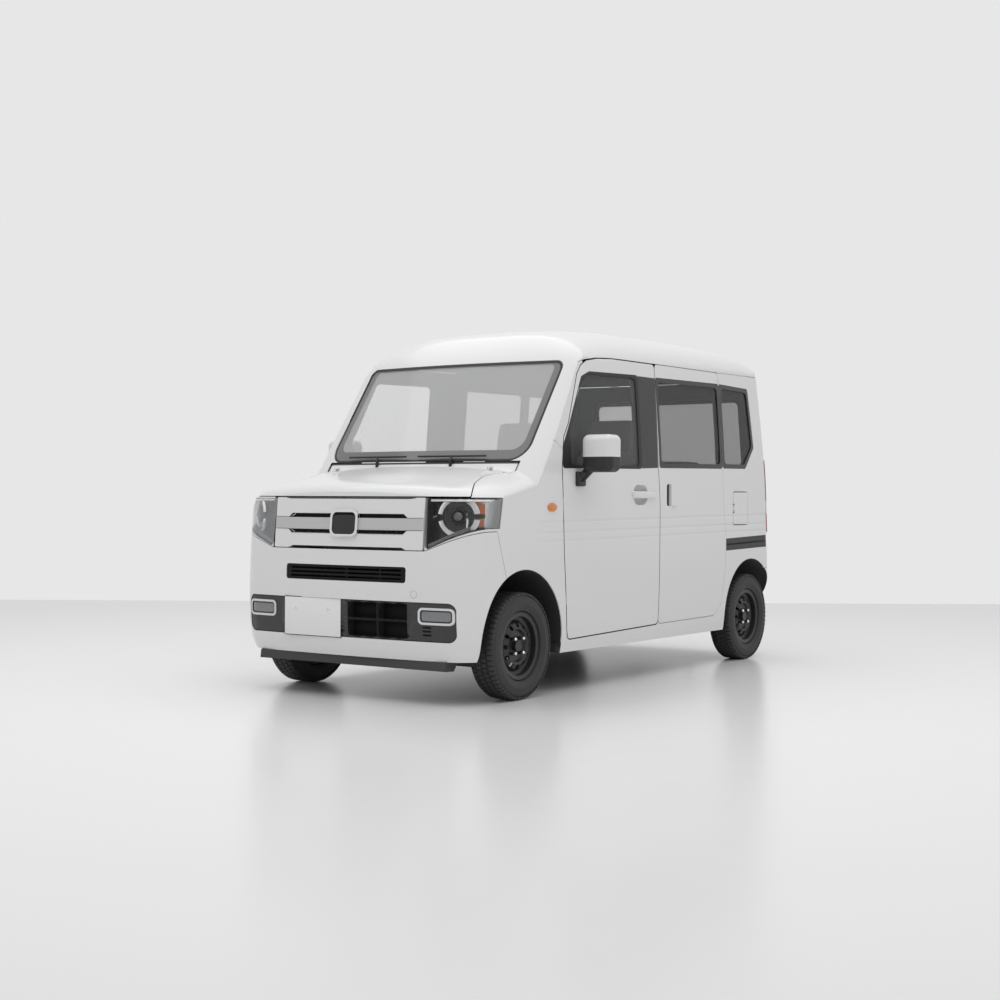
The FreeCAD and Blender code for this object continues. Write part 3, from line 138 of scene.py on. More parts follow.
DOOR_POST = [(-0.0365, 1.157), (0.1445, 1.163), (0.1565, 1.6655), (-0.0365, 1.6650)]
FUEL_LID = [(1.0855, 0.838), (1.2825, 1.032)]


def line_at(points, at):
    """Smooth curve through (position, value) points, read at many positions."""
    xs, ys = np.array(points, float).T
    last = len(xs) - 1
    low = np.maximum(np.arange(last + 1) - 1, 0)
    high = np.minimum(np.arange(last + 1) + 1, last)
    slope = (ys[high] - ys[low]) / (xs[high] - xs[low])
    at = np.asarray(at, float)
    i = np.clip(np.searchsorted(xs, at, side="right"), 1, last - 1)
    span = xs[i] - xs[i - 1]
    t = (at - xs[i - 1]) / span
    a = 2 * t ** 3 - 3 * t ** 2 + 1
    b = t ** 3 - 2 * t ** 2 + t
    value = (a * ys[i - 1] + b * span * slope[i - 1] + (1 - a) * ys[i]
             + (t ** 3 - t ** 2) * span * slope[i])
    value = np.where(t < 0, ys[i - 1] + slope[i - 1] * (at - xs[i - 1]), value)
    return np.where(t > 1, ys[i] + slope[i] * (at - xs[i]), value)


def level(column, z):
    """One column of the body levels at a height."""
    return line_at([(lv[0], lv[column]) for lv in BODY_LEVELS], z)


def round_drop(distance, reach, drop):
    """Quarter-round fall: zero until distance 0, full drop at the reach."""
    t = np.clip(distance / reach, 0.0, 0.97)
    return drop * (1 - np.sqrt(1 - t * t))


def plan_corner(z, sign):
    """Plan arcs of the nose (1) or tail (-1) at a height."""
    bow, corner = BOWS[sign]
    width = HALF - level(1, z)
    face = NOSE + level(2, z) if sign > 0 else TAIL - level(3, z)
    sin_a = (width - corner) / (bow - corner)
    cos_a = np.sqrt(1 - sin_a ** 2)
    bow_centre = face + sign * bow
    corner_y = face + sign * bow * (1 - cos_a) + sign * corner * cos_a
    return width, bow, corner, bow_centre, corner_y, sin_a


def plan_distance(x, y, z):
    """How far a point lies outside the body's plan outline."""
    across = np.abs(x)
    out = np.full(np.shape(x), -1e9)
    for sign in (1, -1):
        width, bow, corner, bow_centre, corner_y, sin_a = plan_corner(z, sign)
        centre_x = width - corner
        past = (corner_y - y) * sign
        side = across - width
        round_ = np.hypot(across - centre_x, y - corner_y) - corner
        front = np.hypot(across, y - bow_centre) - bow
        on_bow = across < np.abs(y - bow_centre) * sin_a / np.sqrt(1 - sin_a ** 2)
        value = np.where(past < 0, side, np.where(on_bow, front, round_))
        here = (y < 0) if sign > 0 else (y >= 0)
        out = np.where(here, value, out)
    return out


def cabin_height(x, y):
    """Height of windscreen and roof over a point of the plan."""
    back = y - NOSE
    across = np.abs(x)
    bow = SCREEN_BOW * (across / SCREEN_HALF) ** 2
    screen = HEIGHT - line_at(ROOF_LINE, back - bow)
    screen = screen - round_drop(across - PILLAR_START, PILLAR_REACH, PILLAR_DROP)
    top = HEIGHT - line_at(ROOF_LINE, back)
    low = DRIP_HEIGHT + DRIP_SLOPE * y - EDGE_FALL
    form = np.maximum(1 - (across / ROOF_HALF) ** ROOF_POWER, 0.0) ** 0.5
    roof = np.where(top < low, top, low + (top - low) * form)
    roof = np.where(across > ROOF_HALF, low - (across - ROOF_HALF) * 2, roof)
    t = np.clip((back - BLEND_START) / BLEND_LENGTH, 0, 1)
    blend = t * t * (3 - 2 * t)
    return screen * (1 - blend) + roof * blend


def bonnet_height(x, y):
    """Height of bonnet and wings over a point of the plan."""
    back = y - NOSE
    across = np.abs(x)
    bow = across ** 2 / BONNET_BOW
    corner = round_drop(across - (HALF - NOSE_ROUND), NOSE_ROUND, NOSE_ROUND_DROP)
    height = line_at(BONNET_LINE, back - bow - corner)
    height = height - BONNET_CROWN * (across / BONNET_HALF) ** 2
    return height - round_drop(across - BONNET_HALF, WING_REACH, WING_DROP)


# Step in millimetres at which the forms are probed for their normals
PROBE = 1.5


def skin_values(p):
    """Three forms whose zero is the skin: sides and ends, windscreen and roof, bonnet."""
    x, y, z = p.T
    return [plan_distance(x, y, z), z - cabin_height(x, y), z - bonnet_height(x, y)]


def skin_normals(p):
    """Outward normals of the three forms at many points, and the distances to them."""
    gradients = []
    for axis in range(3):
        step = np.zeros(3)
        step[axis] = PROBE
        up = skin_values(p + step)
        down = skin_values(p - step)
        gradients.append([(a - b) / (2 * PROBE) for a, b in zip(up, down)])
    here = skin_values(p)
    normals = []
    distances = []
    for k in range(3):
        g = np.stack([gradients[0][k], gradients[1][k], gradients[2][k]], 1)
        size = np.maximum(np.linalg.norm(g, axis=1), 1e-9)
        normals.append(g / size[:, None])
        distances.append(here[k] / size)
    return normals, distances


def side_x(z):
    """Half width of the body at a height, in metres."""
    return float(HALF - level(1, z * 1000)) / 1000


def nose_y(x, z, sign=1):
    """Y of the nose (1) or tail (-1) surface at x and z, in metres."""
    width, bow, corner, bow_centre, corner_y, sin_a = plan_corner(z * 1000, sign)
    across = abs(x) * 1000
    centre_x = width - corner
    if across <= bow * sin_a:
        y = bow_centre - sign * math.sqrt(bow ** 2 - across ** 2)
    else:
        reach = min(across - centre_x, corner)
        y = corner_y - sign * math.sqrt(corner ** 2 - reach ** 2)
    return float(y) / 1000


def plan_point(s, z, sign=1):
    """Point and outward direction at a length s round the nose (1) or tail (-1), at a height."""
    width, bow, corner, bow_centre, corner_y, sin_a = (
        float(v) for v in plan_corner(z * 1000, sign))
    start = math.asin(sin_a)
    run = abs(s) * 1000
    bend = corner * (math.pi / 2 - start)
    if run < bow * start:
        angle = run / bow
        x = bow * math.sin(angle)
        y = bow_centre - sign * bow * math.cos(angle)
    elif run < bow * start + bend:
        angle = start + (run - bow * start) / corner
        x = width - corner + corner * math.sin(angle)
        y = corner_y - sign * corner * math.cos(angle)
    else:
        angle = math.pi / 2
        x = width
        y = corner_y + sign * (run - bow * start - bend)
    turn = math.copysign(1, s)
    out = Vector((turn * math.sin(angle), -sign * math.cos(angle), 0))
    return Vector((turn * x / 1000, y / 1000, z)), out


def screen_y(x, z):
    """Y of the windscreen's surface at x and z, in metres."""
    low, high = -1400.0, -500.0
    for _ in range(40):
        middle = (low + high) / 2
        if float(cabin_height(x * 1000, middle)) < z * 1000:
            low = middle
        else:
            high = middle
    return low / 1000


# Meshes

# Largest distance in millimetres from the form, and smallest cosine to its normal, at which
# a face counts as lying on it
SKIN_NEAR = 1.6
SKIN_MATCH = 0.94
# Depth in metres down to which a panel is painted
PAINT_DEPTH = 0.012


def new_object(name, mesh):
    """Object for a mesh, linked to the scene."""
    obj = bpy.data.objects.new(name, mesh)
    bpy.context.scene.collection.objects.link(obj)
    return obj


def shade_smooth(mesh, angle):
    """Shade a mesh smooth up to an edge angle."""
    for face in mesh.polygons:
        face.use_smooth = True
    mesh.set_sharp_from_angle(angle=angle)


def from_bmesh(name, bm, smooth=0.6):
    """Object from a bmesh, shaded smooth up to an edge angle."""
    mesh = bpy.data.meshes.new(name)
    bm.to_mesh(mesh)
    bm.free()
    shade_smooth(mesh, smooth)
    return new_object(name, mesh)


def finish(obj, finish_name, body, slot, *nodes):
    """Give a piece its finish and body, and hide the nodes it stands for; the slot is not used.
    """
    if finish_name is not None:
        coated(obj, finish_name)
    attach(obj, body)
    if nodes:
        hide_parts(*nodes)
    return obj


def merged(node, name):
    """Copy of a node's mesh with its doubles merged."""
    mesh = NODES[node].data.copy()
    mesh.name = name
    bm = bmesh.new()
    bm.from_mesh(mesh)
    bmesh.ops.remove_doubles(bm, verts=bm.verts, dist=2e-5)
    bm.to_mesh(mesh)
    bm.free()
    shade_smooth(mesh, 0.5)
    return mesh


def shade_by_form(mesh):
    """Custom normals from the body form on the faces that lie on it; returns the faces'
    centres, which of them lie on the form, and how far inside it they are."""
    count = len(mesh.loops)
    co = np.zeros(len(mesh.vertices) * 3)
    mesh.vertices.foreach_get("co", co)
    co = co.reshape(-1, 3) * 1000
    loop_vertex = np.zeros(count, int)
    mesh.loops.foreach_get("vertex_index", loop_vertex)
    centres = np.array([p.center for p in mesh.polygons]) * 1000
    faces = np.array([p.normal for p in mesh.polygons])
    normals, depths = skin_normals(centres)
    at_vertex, gaps = skin_normals(co)
    custom = np.zeros((count, 3))
    sizes = [p.loop_total for p in mesh.polygons]
    face_of = np.repeat(np.arange(len(sizes)), sizes)
    best = np.full(len(sizes), SKIN_MATCH)
    for k in range(3):
        near = np.zeros(len(sizes))
        np.maximum.at(near, face_of, np.abs(gaps[k][loop_vertex]))
        match = (normals[k] * faces).sum(1)
        use = (near < SKIN_NEAR) & (match > best)
        best = np.where(use, match, best)
        loops = use[face_of]
        custom[loops] = at_vertex[k][loop_vertex[loops]]
    mesh.normals_split_custom_set(custom.tolist())
    over_bonnet = centres[:, 1] < NOSE + BONNET_LENGTH
    roofed = np.where(over_bonnet, np.maximum(depths[1], depths[2]), depths[1])
    depth = -np.maximum(depths[0], roofed) / 1000
    return centres / 1000, best > SKIN_MATCH, depth


def in_outline(points, u, v):
    """Which of the points (u, v) lie inside an outline."""
    inside = np.zeros(len(u), bool)
    for (a, b), (c, d) in zip(points, points[1:] + points[:1]):
        crosses = (b > v) != (d > v)
        at = a + (v - b) / (d - b if d != b else 1e-9) * (c - a)
        inside ^= crosses & (u < at)
    return inside


def skinned(node, slot="paint", rule=None):
    """Piece for a node whose outer faces lie on the body form: paint, lining, black edges."""
    mesh = merged(node, node + "_shell")
    centres, outer, depth = shade_by_form(mesh)
    index = np.where(outer | (depth < PAINT_DEPTH), 0, 1)
    if rule is not None:
        index = rule(index, centres, outer, depth)
    dressed(mesh, ("body_paint", "body_lining", "seal_and_shade_black"), index)
    obj = new_object(node + "_shell", mesh)
    return finish(obj, None, NODES[node]["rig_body"], slot, node)


def rect(u0, v0, u1, v1):
    """Outline of a rectangle."""
    return [(u0, v0), (u1, v0), (u1, v1), (u0, v1)]


def ellipse(centre, half_u, half_v, count):
    """Outline of an ellipse."""
    return [(centre[0] + half_u * math.cos(a), centre[1] + half_v * math.sin(a))
            for a in np.linspace(0, 2 * math.pi, count + 1)[:-1]]


def rounded(points, radius, steps=5):
    """Outline with its corners rounded; radius may be one per corner."""
    result = []
    count = len(points)
    for i, p in enumerate(points):
        p = Vector(p)
        a = Vector(points[i - 1]) - p
        b = Vector(points[(i + 1) % count]) - p
        r = radius[i] if isinstance(radius, (list, tuple)) else radius
        angle = a.angle(b)
        if r <= 0 or angle > math.pi - 0.02:
            result.append(p)
            continue
        reach = min(r / math.tan(angle / 2), 0.48 * a.length, 0.48 * b.length)
        r = reach * math.tan(angle / 2)
        start = p + a.normalized() * reach
        centre = p + (a.normalized() + b.normalized()).normalized() * (r / math.sin(angle / 2))
        first = start - centre
        last = p + b.normalized() * reach - centre
        turn = math.atan2(first.x * last.y - first.y * last.x, first.dot(last))
        for k in range(steps + 1):
            t = turn * k / steps
            result.append(centre + Vector((first.x * math.cos(t) - first.y * math.sin(t),
                                           first.x * math.sin(t) + first.y * math.cos(t))))
    return result


def flat_sheet(outline, holes, cuts_u, cuts_v):
    """Flat bmesh of an outline with holes, cut along lines of both directions."""
    bm = bmesh.new()
    edges = []
    for ring in [outline] + holes:
        verts = [bm.verts.new((p[0], p[1], 0)) for p in ring]
        for i in range(len(verts)):
            edges.append(bm.edges.new((verts[i - 1], verts[i])))
    bmesh.ops.triangle_fill(bm, use_beauty=True, use_dissolve=False, edges=edges)
    for axis, values in ((0, cuts_u), (1, cuts_v)):
        for value in values:
            normal = Vector((1, 0, 0)) if axis == 0 else Vector((0, 1, 0))
            bmesh.ops.bisect_plane(bm, geom=bm.verts[:] + bm.edges[:] + bm.faces[:],
                                   dist=1e-6, plane_co=normal * value, plane_no=normal)
    return bm


def thick_sheet(name, outline, place, thickness, holes=(), step=0.04):
    """Sheet laid on a surface: place(u, v, depth) gives the point; it is closed at the back."""
    us = [p[0] for p in outline]
    vs = [p[1] for p in outline]
    cuts_u = np.arange(min(us) + step, max(us), step)
    cuts_v = np.arange(min(vs) + step, max(vs), step)
    bm = flat_sheet(outline, [list(h) for h in holes], cuts_u, cuts_v)
    flat = {v: (v.co.x, v.co.y) for v in bm.verts}
    back = bmesh.ops.duplicate(bm, geom=bm.verts[:] + bm.edges[:] + bm.faces[:])
    pair = {}
    for old, new in back["vert_map"].items():
        if old in flat and new not in flat:
            pair[old] = new
    for old, new in pair.items():
        u, v = flat[old]
        new.co = place(u, v, thickness)
    for f in [g for g in back["geom"] if isinstance(g, bmesh.types.BMFace)]:
        f.normal_flip()
    border = [e for e in bm.edges if len(e.link_faces) == 1 and e.verts[0] in pair
              and e.verts[1] in pair]
    for e in border:
        a, b = e.verts
        bm.faces.new((a, b, pair[b], pair[a]))
    for old, (u, v) in flat.items():
        old.co = place(u, v, 0.0)
    bmesh.ops.recalc_face_normals(bm, faces=bm.faces[:])
    return from_bmesh(name, bm)


def side_place(side, inset):
    """Places (y, z) outlines on the body side."""
    def place(u, v, depth):
        return Vector((side * (side_x(v) - inset - depth), u, v))
    return place


def nose_place(inset, sign=1):
    """Places (x, z) outlines on the nose or tail."""
    def place(u, v, depth):
        return Vector((u, nose_y(u, v, sign) + sign * (inset + depth), v))
    return place


def wrap_place(inset, sign=1):
    """Places (length round the nose or tail, z) outlines."""
    def place(u, v, depth):
        point, out = plan_point(u, v, sign)
        return point - out * (inset + depth)
    return place


def rear_place(back):
    """Places (x, z) outlines on a flat face that looks to the rear."""
    def place(u, v, depth):
        return Vector((u, back - depth, v))
    return place


def screen_place(inset):
    """Places (x, z) outlines on the windscreen."""
    def place(u, v, depth):
        y = screen_y(u, v)
        p = np.array([[u * 1000, y * 1000, v * 1000]])
        normals, _ = skin_normals(p)
        return Vector((u, y, v)) - Vector(normals[1][0]) * (inset + depth)
    return place


def close_rings(bm, rings):
    """Faces round a turned piece from the rings of its closed profile."""
    for a, b in zip(rings, rings[1:] + rings[:1]):
        for i in range(len(a)):
            j = (i + 1) % len(a)
            bm.faces.new((a[i], a[j], b[j], b[i]))


def stack_rows(bm, rows):
    """Closed body from rows of vertices, capped by its first and last row."""
    for a, b in zip(rows, rows[1:]):
        for k in range(len(a)):
            bm.faces.new((a[k - 1], a[k], b[k], b[k - 1]))
    bm.faces.new(rows[0])
    bm.faces.new(list(reversed(rows[-1])))
    bmesh.ops.recalc_face_normals(bm, faces=bm.faces[:])


def lathe(name, profile, centre, segments, smooth, side):
    """Turned piece about an axle along X from a closed (x, radius) profile."""
    bm = bmesh.new()
    rings = []
    for k in range(segments):
        angle = 2 * math.pi * k / segments
        ring = [bm.verts.new((centre[0] + side * u, centre[1] + r * math.cos(angle),
                              centre[2] + r * math.sin(angle))) for u, r in profile]
        rings.append(ring)
    close_rings(bm, rings)
    bmesh.ops.recalc_face_normals(bm, faces=bm.faces[:])
    return from_bmesh(name, bm, smooth)


def box_mesh(bm, low, high, bevel=0.0, segments=2):
    """Box with rounded edges added to a bmesh."""
    size = [high[i] - low[i] for i in range(3)]
    middle = [(high[i] + low[i]) / 2 for i in range(3)]
    matrix = Matrix.Translation(middle) @ Matrix.Diagonal((*size, 1))
    made = bmesh.ops.create_cube(bm, size=1, matrix=matrix)
    if bevel:
        edges = list({e for v in made["verts"] for e in v.link_edges})
        bmesh.ops.bevel(bm, geom=edges, offset=bevel, segments=segments, affect="EDGES",
                        profile=0.5)


def tube_mesh(bm, points, radius, sides=10):
    """Round bar through points added to a bmesh, closed at both ends."""
    rings = []
    for i, p in enumerate(points):
        p = Vector(p)
        before = Vector(points[max(i - 1, 0)])
        after = Vector(points[min(i + 1, len(points) - 1)])
        along = (after - before).normalized()
        out = along.orthogonal() if i == 0 else (out - along * out.dot(along))
        out.normalize()
        other = along.cross(out)
        rings.append([bm.verts.new(p + (out * math.cos(a) + other * math.sin(a)) * radius)
                      for a in (2 * math.pi * k / sides for k in range(sides))])
    stack_rows(bm, rings)


def grown(points, by):
    """Outline moved outwards by a distance."""
    count = len(points)
    area = sum(points[i - 1][0] * points[i][1] - points[i][0] * points[i - 1][1]
               for i in range(count))
    turn = 1 if area > 0 else -1
    result = []
    for i, p in enumerate(points):
        p = Vector(p)
        a = (p - Vector(points[i - 1])).normalized()
        b = (Vector(points[(i + 1) % count]) - p).normalized()
        out_a = Vector((a.y, -a.x)) * turn
        out_b = Vector((b.y, -b.x)) * turn
        middle = (out_a + out_b).normalized()
        result.append(p + middle * (by / max(middle.dot(out_a), 0.4)))
    return [tuple(v) for v in result]


def ring_sheet(name, outer, inner, place, thickness, step=0.05):
    """Flat frame between two outlines laid on a surface."""
    return thick_sheet(name, outer, place, thickness, [inner], step)


def joined(name, objects):
    """One object from several, with their materials kept."""
    bm = bmesh.new()
    materials = []
    for obj in objects:
        offset = []
        for material in obj.data.materials:
            if material not in materials:
                materials.append(material)
            offset.append(materials.index(material))
        first = len(bm.faces)
        bm.from_mesh(obj.data)
        bm.faces.ensure_lookup_table()
        for face in bm.faces[first:]:
            face.material_index = offset[face.material_index] if offset else 0
        bpy.data.objects.remove(obj)
    result = from_bmesh(name, bm)
    for material in materials:
        result.data.materials.append(material)
    return result


def give(mesh, *names):
    """Give a mesh the named finishes in place of its own."""
    mesh.materials.clear()
    for name in names:
        mesh.materials.append(look(name))


def coated(obj, name):
    """The same object with one finish."""
    give(obj.data, name)
    return obj


def dressed(mesh, names, index):
    """Give a mesh the named finishes, and each face the number of its own."""
    give(mesh, *names)
    mesh.polygons.foreach_set("material_index", np.asarray(index, np.int32))


def split_level(node, name, height, below, above, smooth):
    """Copy of a node's mesh cut at a height, with one finish below the cut and one above."""
    mesh = merged(node, name)
    give(mesh, below, above)
    bm = bmesh.new()
    bm.from_mesh(mesh)
    bmesh.ops.bisect_plane(bm, geom=bm.verts[:] + bm.edges[:] + bm.faces[:], dist=1e-6,
                           plane_co=(0, 0, height), plane_no=(0, 0, 1))
    for face in bm.faces:
        face.material_index = int(face.calc_center_median().z > height)
    bm.to_mesh(mesh)
    bm.free()
    mesh.set_sharp_from_angle(angle=smooth)
    return new_object(name, mesh)


def mirror_copy(obj, name):
    """Copy of an object on the other side of the centre plane."""
    bm = bmesh.new()
    bm.from_mesh(obj.data)
    for v in bm.verts:
        v.co.x = -v.co.x
    bmesh.ops.reverse_faces(bm, faces=bm.faces[:])
    other = from_bmesh(name, bm)
    for material in obj.data.materials:
        other.data.materials.append(material)
    return other


def bevelled(obj, width, segments=3):
    """Round the edges of a piece."""
    bm = bmesh.new()
    bm.from_mesh(obj.data)
    sharp = [e for e in bm.edges if len(e.link_faces) == 2
             and e.calc_face_angle(0) > math.radians(60)]
    bmesh.ops.bevel(bm, geom=sharp, offset=width, segments=segments, affect="EDGES",
                    profile=0.5, clamp_overlap=True)
    bm.to_mesh(obj.data)
    bm.free()
    shade_smooth(obj.data, 0.7)
    return obj


class VanSizes(bpy.types.PropertyGroup):
    """Sizes and counts of the van's details."""
    groove_depth: bpy.props.FloatProperty(
        name="Groove depth", description="Depth of the pressed lines along the sides",
        unit="LENGTH", default=0.0022, min=0, max=0.006, precision=4)
    seal_thickness: bpy.props.FloatProperty(
        name="Seal thickness", description="Thickness of the seals of the front doors' windows",
        unit="LENGTH", default=0.0035, min=0.001, max=0.008, precision=4)
    vane_step: bpy.props.FloatProperty(
        name="Vane step", description="Distance between two vanes of the bumper's slot",
        unit="LENGTH", default=0.0195, min=0.01, max=0.04, precision=4)
    slot_vanes: bpy.props.IntProperty(
        name="Slot vanes", description="Number of vanes in the bumper's slot",
        default=19, min=1, max=60)
    tread_blocks: bpy.props.IntProperty(
        name="Tread blocks", description="Number of blocks round each row of a tyre's tread",
        default=62, min=20, max=90)


class VanColours(bpy.types.PropertyGroup):
    """Colours of the van."""
    paint: bpy.props.FloatVectorProperty(
        name="Paint", description="Colour of the body", subtype="COLOR", size=3,
        default=(0.83, 0.83, 0.832), min=0, max=1)
    plastic: bpy.props.FloatVectorProperty(
        name="Plastic", description="Colour of the black plastic parts", subtype="COLOR",
        size=3, default=(0.02, 0.02, 0.021), min=0, max=1)
    rubber: bpy.props.FloatVectorProperty(
        name="Rubber", description="Colour of the tyres", subtype="COLOR", size=3,
        default=(0.034, 0.034, 0.034), min=0, max=1)
    cloth: bpy.props.FloatVectorProperty(
        name="Cloth", description="Colour of the seat covers", subtype="COLOR", size=3,
        default=(0.20, 0.20, 0.205), min=0, max=1)


# Materials

# Finishes: a colour or the name of a colour property, the roughness, the grain as scale,
# spread and height, and values for the shader's other sockets
FINISHES = {
    "body_paint": ("paint", 0.16, (60.0, 0.04, 0.0), {"Specular IOR Level": 0.5}),
    "white_gloss": ("paint", 0.16, (60.0, 0.04, 0.0), {"Specular IOR Level": 0.5}),
    "plate_white": ((0.90, 0.90, 0.90), 0.4, (300.0, 0.05, 0.05), {}),
    # Grey of painted shade in a gap, laid round the tow cover
    "gap_shade_grey": ((0.25, 0.25, 0.25), 0.6, (300.0, 0.05, 0.0), {}),
    "body_lining": ((0.045, 0.045, 0.046), 0.7, (900.0, 0.1, 0.05), {}),
    # Black of the seals, also laid as painted shade in the grille's grooves and the bonnet gap
    "seal_and_shade_black": ((0.010, 0.010, 0.011), 0.5, (700.0, 0.1, 0.1), {}),
    "deep_black": ((0.004, 0.004, 0.004), 0.6, (800.0, 0.1, 0.0),
                   {"Specular IOR Level": 0.15}),
    "slot_black": ((0.006, 0.006, 0.006), 0.5, (800.0, 0.1, 0.1),
                   {"Specular IOR Level": 0.2}),
    "black_plastic": ("plastic", 0.45, (900.0, 0.15, 0.12), {}),
    "panel_plastic": ((0.036, 0.035, 0.035), 0.38, (800.0, 0.12, 0.1), {}),
    "lip_plastic": ((0.045, 0.044, 0.044), 0.5, (900.0, 0.15, 0.2), {}),
    "gloss_black": ((0.014, 0.012, 0.012), 0.12, (300.0, 0.03, 0.0), {}),
    "screen_edge": ((0.17, 0.17, 0.17), 0.12, (300.0, 0.03, 0.0), {}),
    "satin_silver": ((0.58, 0.572, 0.568), 0.32, (40.0, 0.06, 0.0), {}),
    "bright_trim": ((0.72, 0.73, 0.74), 0.1, (200.0, 0.04, 0.0), {"Metallic": 1.0}),
    "bezel_silver": ((0.74, 0.75, 0.76), 0.25, (200.0, 0.05, 0.0), {"Coat Weight": 0.6}),
    "mirror_glass": ((0.80, 0.81, 0.82), 0.02, (50.0, 0.01, 0.0), {"Metallic": 1.0}),
    "lamp_silver": ((0.82, 0.83, 0.84), 0.3, (150.0, 0.06, 0.0), {"Metallic": 0.6}),
    "lamp_ring": ((0.92, 0.92, 0.93), 0.35, (300.0, 0.06, 0.05), {"Coat Weight": 0.5}),
    "lamp_black": ((0.012, 0.012, 0.013), 0.3, (300.0, 0.05, 0.05), {}),
    "lamp_lip": ((0.16, 0.16, 0.17), 0.3, (300.0, 0.05, 0.05), {}),
    "projector_lens": ((0.10, 0.105, 0.11), 0.06, (200.0, 0.02, 0.0),
                       {"Metallic": 0.7, "Coat Weight": 1.0}),
    "fog_glass": ((0.20, 0.205, 0.21), 0.10, (160.0, 0.10, 0.6),
                  {"Metallic": 0.6, "Coat Weight": 1.0}),
    "amber_lens": ((0.42, 0.10, 0.012), 0.2, (500.0, 0.05, 0.3), {"Coat Weight": 0.7}),
    "marker_amber": ((0.72, 0.22, 0.03), 0.22, (500.0, 0.05, 0.3), {"Coat Weight": 0.7}),
    "lamp_red": ((0.30, 0.006, 0.008), 0.14, (260.0, 0.03, 0.15), {"Coat Weight": 0.9}),
    "lamp_white": ((0.62, 0.62, 0.63), 0.18, (260.0, 0.03, 0.2), {"Coat Weight": 0.9}),
    "tyre_rubber": ("rubber", 0.62, (500.0, 0.2, 0.15), {}),
    "wheel_black": ((0.022, 0.022, 0.023), 0.38, (500.0, 0.12, 0.05), {}),
    "seat_cloth": ("cloth", 0.9, (2200.0, 0.1, 0.9), {"Sheen Weight": 0.3}),
    "seat_side": ((0.06, 0.06, 0.062), 0.8, (1800.0, 0.1, 0.6), {}),
    "dash_plastic": ((0.07, 0.07, 0.072), 0.65, (1400.0, 0.1, 0.5), {}),
    "wheel_leather": ((0.018, 0.018, 0.019), 0.42, (900.0, 0.15, 0.4), {}),
    "underbody_coat": ((0.03, 0.03, 0.031), 0.75, (250.0, 0.2, 0.5), {}),
    "chassis_steel": ((0.04, 0.04, 0.042), 0.5, (300.0, 0.15, 0.1), {}),
    "exhaust_steel": ((0.30, 0.29, 0.28), 0.45, (90.0, 0.3, 0.1), {"Metallic": 1.0}),
    "cast_alloy": ((0.34, 0.34, 0.35), 0.5, (300.0, 0.2, 0.4), {"Metallic": 1.0}),
    "floor_paint": ((0.93, 0.93, 0.93), 0.24, (8.0, 0.02, 0.0), {"Specular IOR Level": 0.4}),
}

# Thin glass: colour and density. The privacy glass's dark colour darkens what lies behind
# it like a tint; the pale colours of the other glasses lie over what is behind as a veil, a
# painted reflection of the bright room
GLASSES = {
    "privacy_glass": ((0.11, 0.10, 0.098), 0.31),
    "clear_glass": ((0.46, 0.48, 0.46), 0.12),
    "screen_glass": ((0.88, 0.895, 0.88), 0.335),
    "lamp_cover": ((0.86, 0.87, 0.88), 0.02),
}

# Pressed lines: where their slope starts, where they fade in along Y, and the half width
# past which they show
GROOVE_FRONT = 1.02
GROOVE_FADE = (-1.14, -0.96)
GROOVE_SIDE = 0.722

MATERIALS = {}


def new_tree(name, kind, inputs, outputs):
    """Node tree with its inputs from (name, type, default) rows and outputs without one."""
    tree = bpy.data.node_groups.new(name, kind)
    for label, socket_type, default in inputs:
        socket = tree.interface.new_socket(label, in_out="INPUT",
                                           socket_type="NodeSocket" + socket_type)
        if default is not None:
            socket.default_value = default
    for label, socket_type in outputs:
        tree.interface.new_socket(label, in_out="OUTPUT",
                                  socket_type="NodeSocket" + socket_type)
    return tree


def wire(tree, nodes, links):
    """Add nodes from name: (type, operation, socket values), then link them; a link may
    also name a node that the tree already has."""
    made = {}
    for name, (kind, operation, values) in nodes.items():
        node = tree.nodes.new(kind)
        if operation:
            node.operation = operation
        for socket, value in values.items():
            node.inputs[socket].default_value = value
        made[name] = node
    for start, output, end, socket in links:
        source = made[start] if start in made else tree.nodes[start]
        target = made[end] if end in made else tree.nodes[end]
        tree.links.new(source.outputs[output], target.inputs[socket])
    return made


def grain_group():
    """Node group: fine noise that varies the roughness and puts grain in the normal."""
    if "fine_grain" in bpy.data.node_groups:
        return bpy.data.node_groups["fine_grain"]
    group = new_tree("fine_grain", "ShaderNodeTree",
                     (("Scale", "Float", 400.0), ("Roughness", "Float", 0.4),
                      ("Spread", "Float", 0.1), ("Height", "Float", 0.1)),
                     (("Roughness", "Float"), ("Normal", "Vector")))
    wire(group, {
        "start": ("NodeGroupInput", None, {}),
        "end": ("NodeGroupOutput", None, {}),
        "place": ("ShaderNodeTexCoord", None, {}),
        "noise": ("ShaderNodeTexNoise", None, {"Detail": 2.0}),
        "half": ("ShaderNodeMath", "SUBTRACT", {1: 0.5}),
        "spread": ("ShaderNodeMath", "MULTIPLY", {}),
        "total": ("ShaderNodeMath", "ADD", {}),
        "bump": ("ShaderNodeBump", None, {"Distance": 0.0004}),
    }, (
        ("place", "Object", "noise", "Vector"), ("start", "Scale", "noise", "Scale"),
        ("noise", "Fac", "half", 0), ("half", 0, "spread", 0),
        ("start", "Spread", "spread", 1), ("spread", 0, "total", 0),
        ("start", "Roughness", "total", 1), ("noise", "Fac", "bump", "Height"),
        ("start", "Height", "bump", "Strength"), ("total", 0, "end", "Roughness"),
        ("bump", "Normal", "end", "Normal"),
    ))
    return group


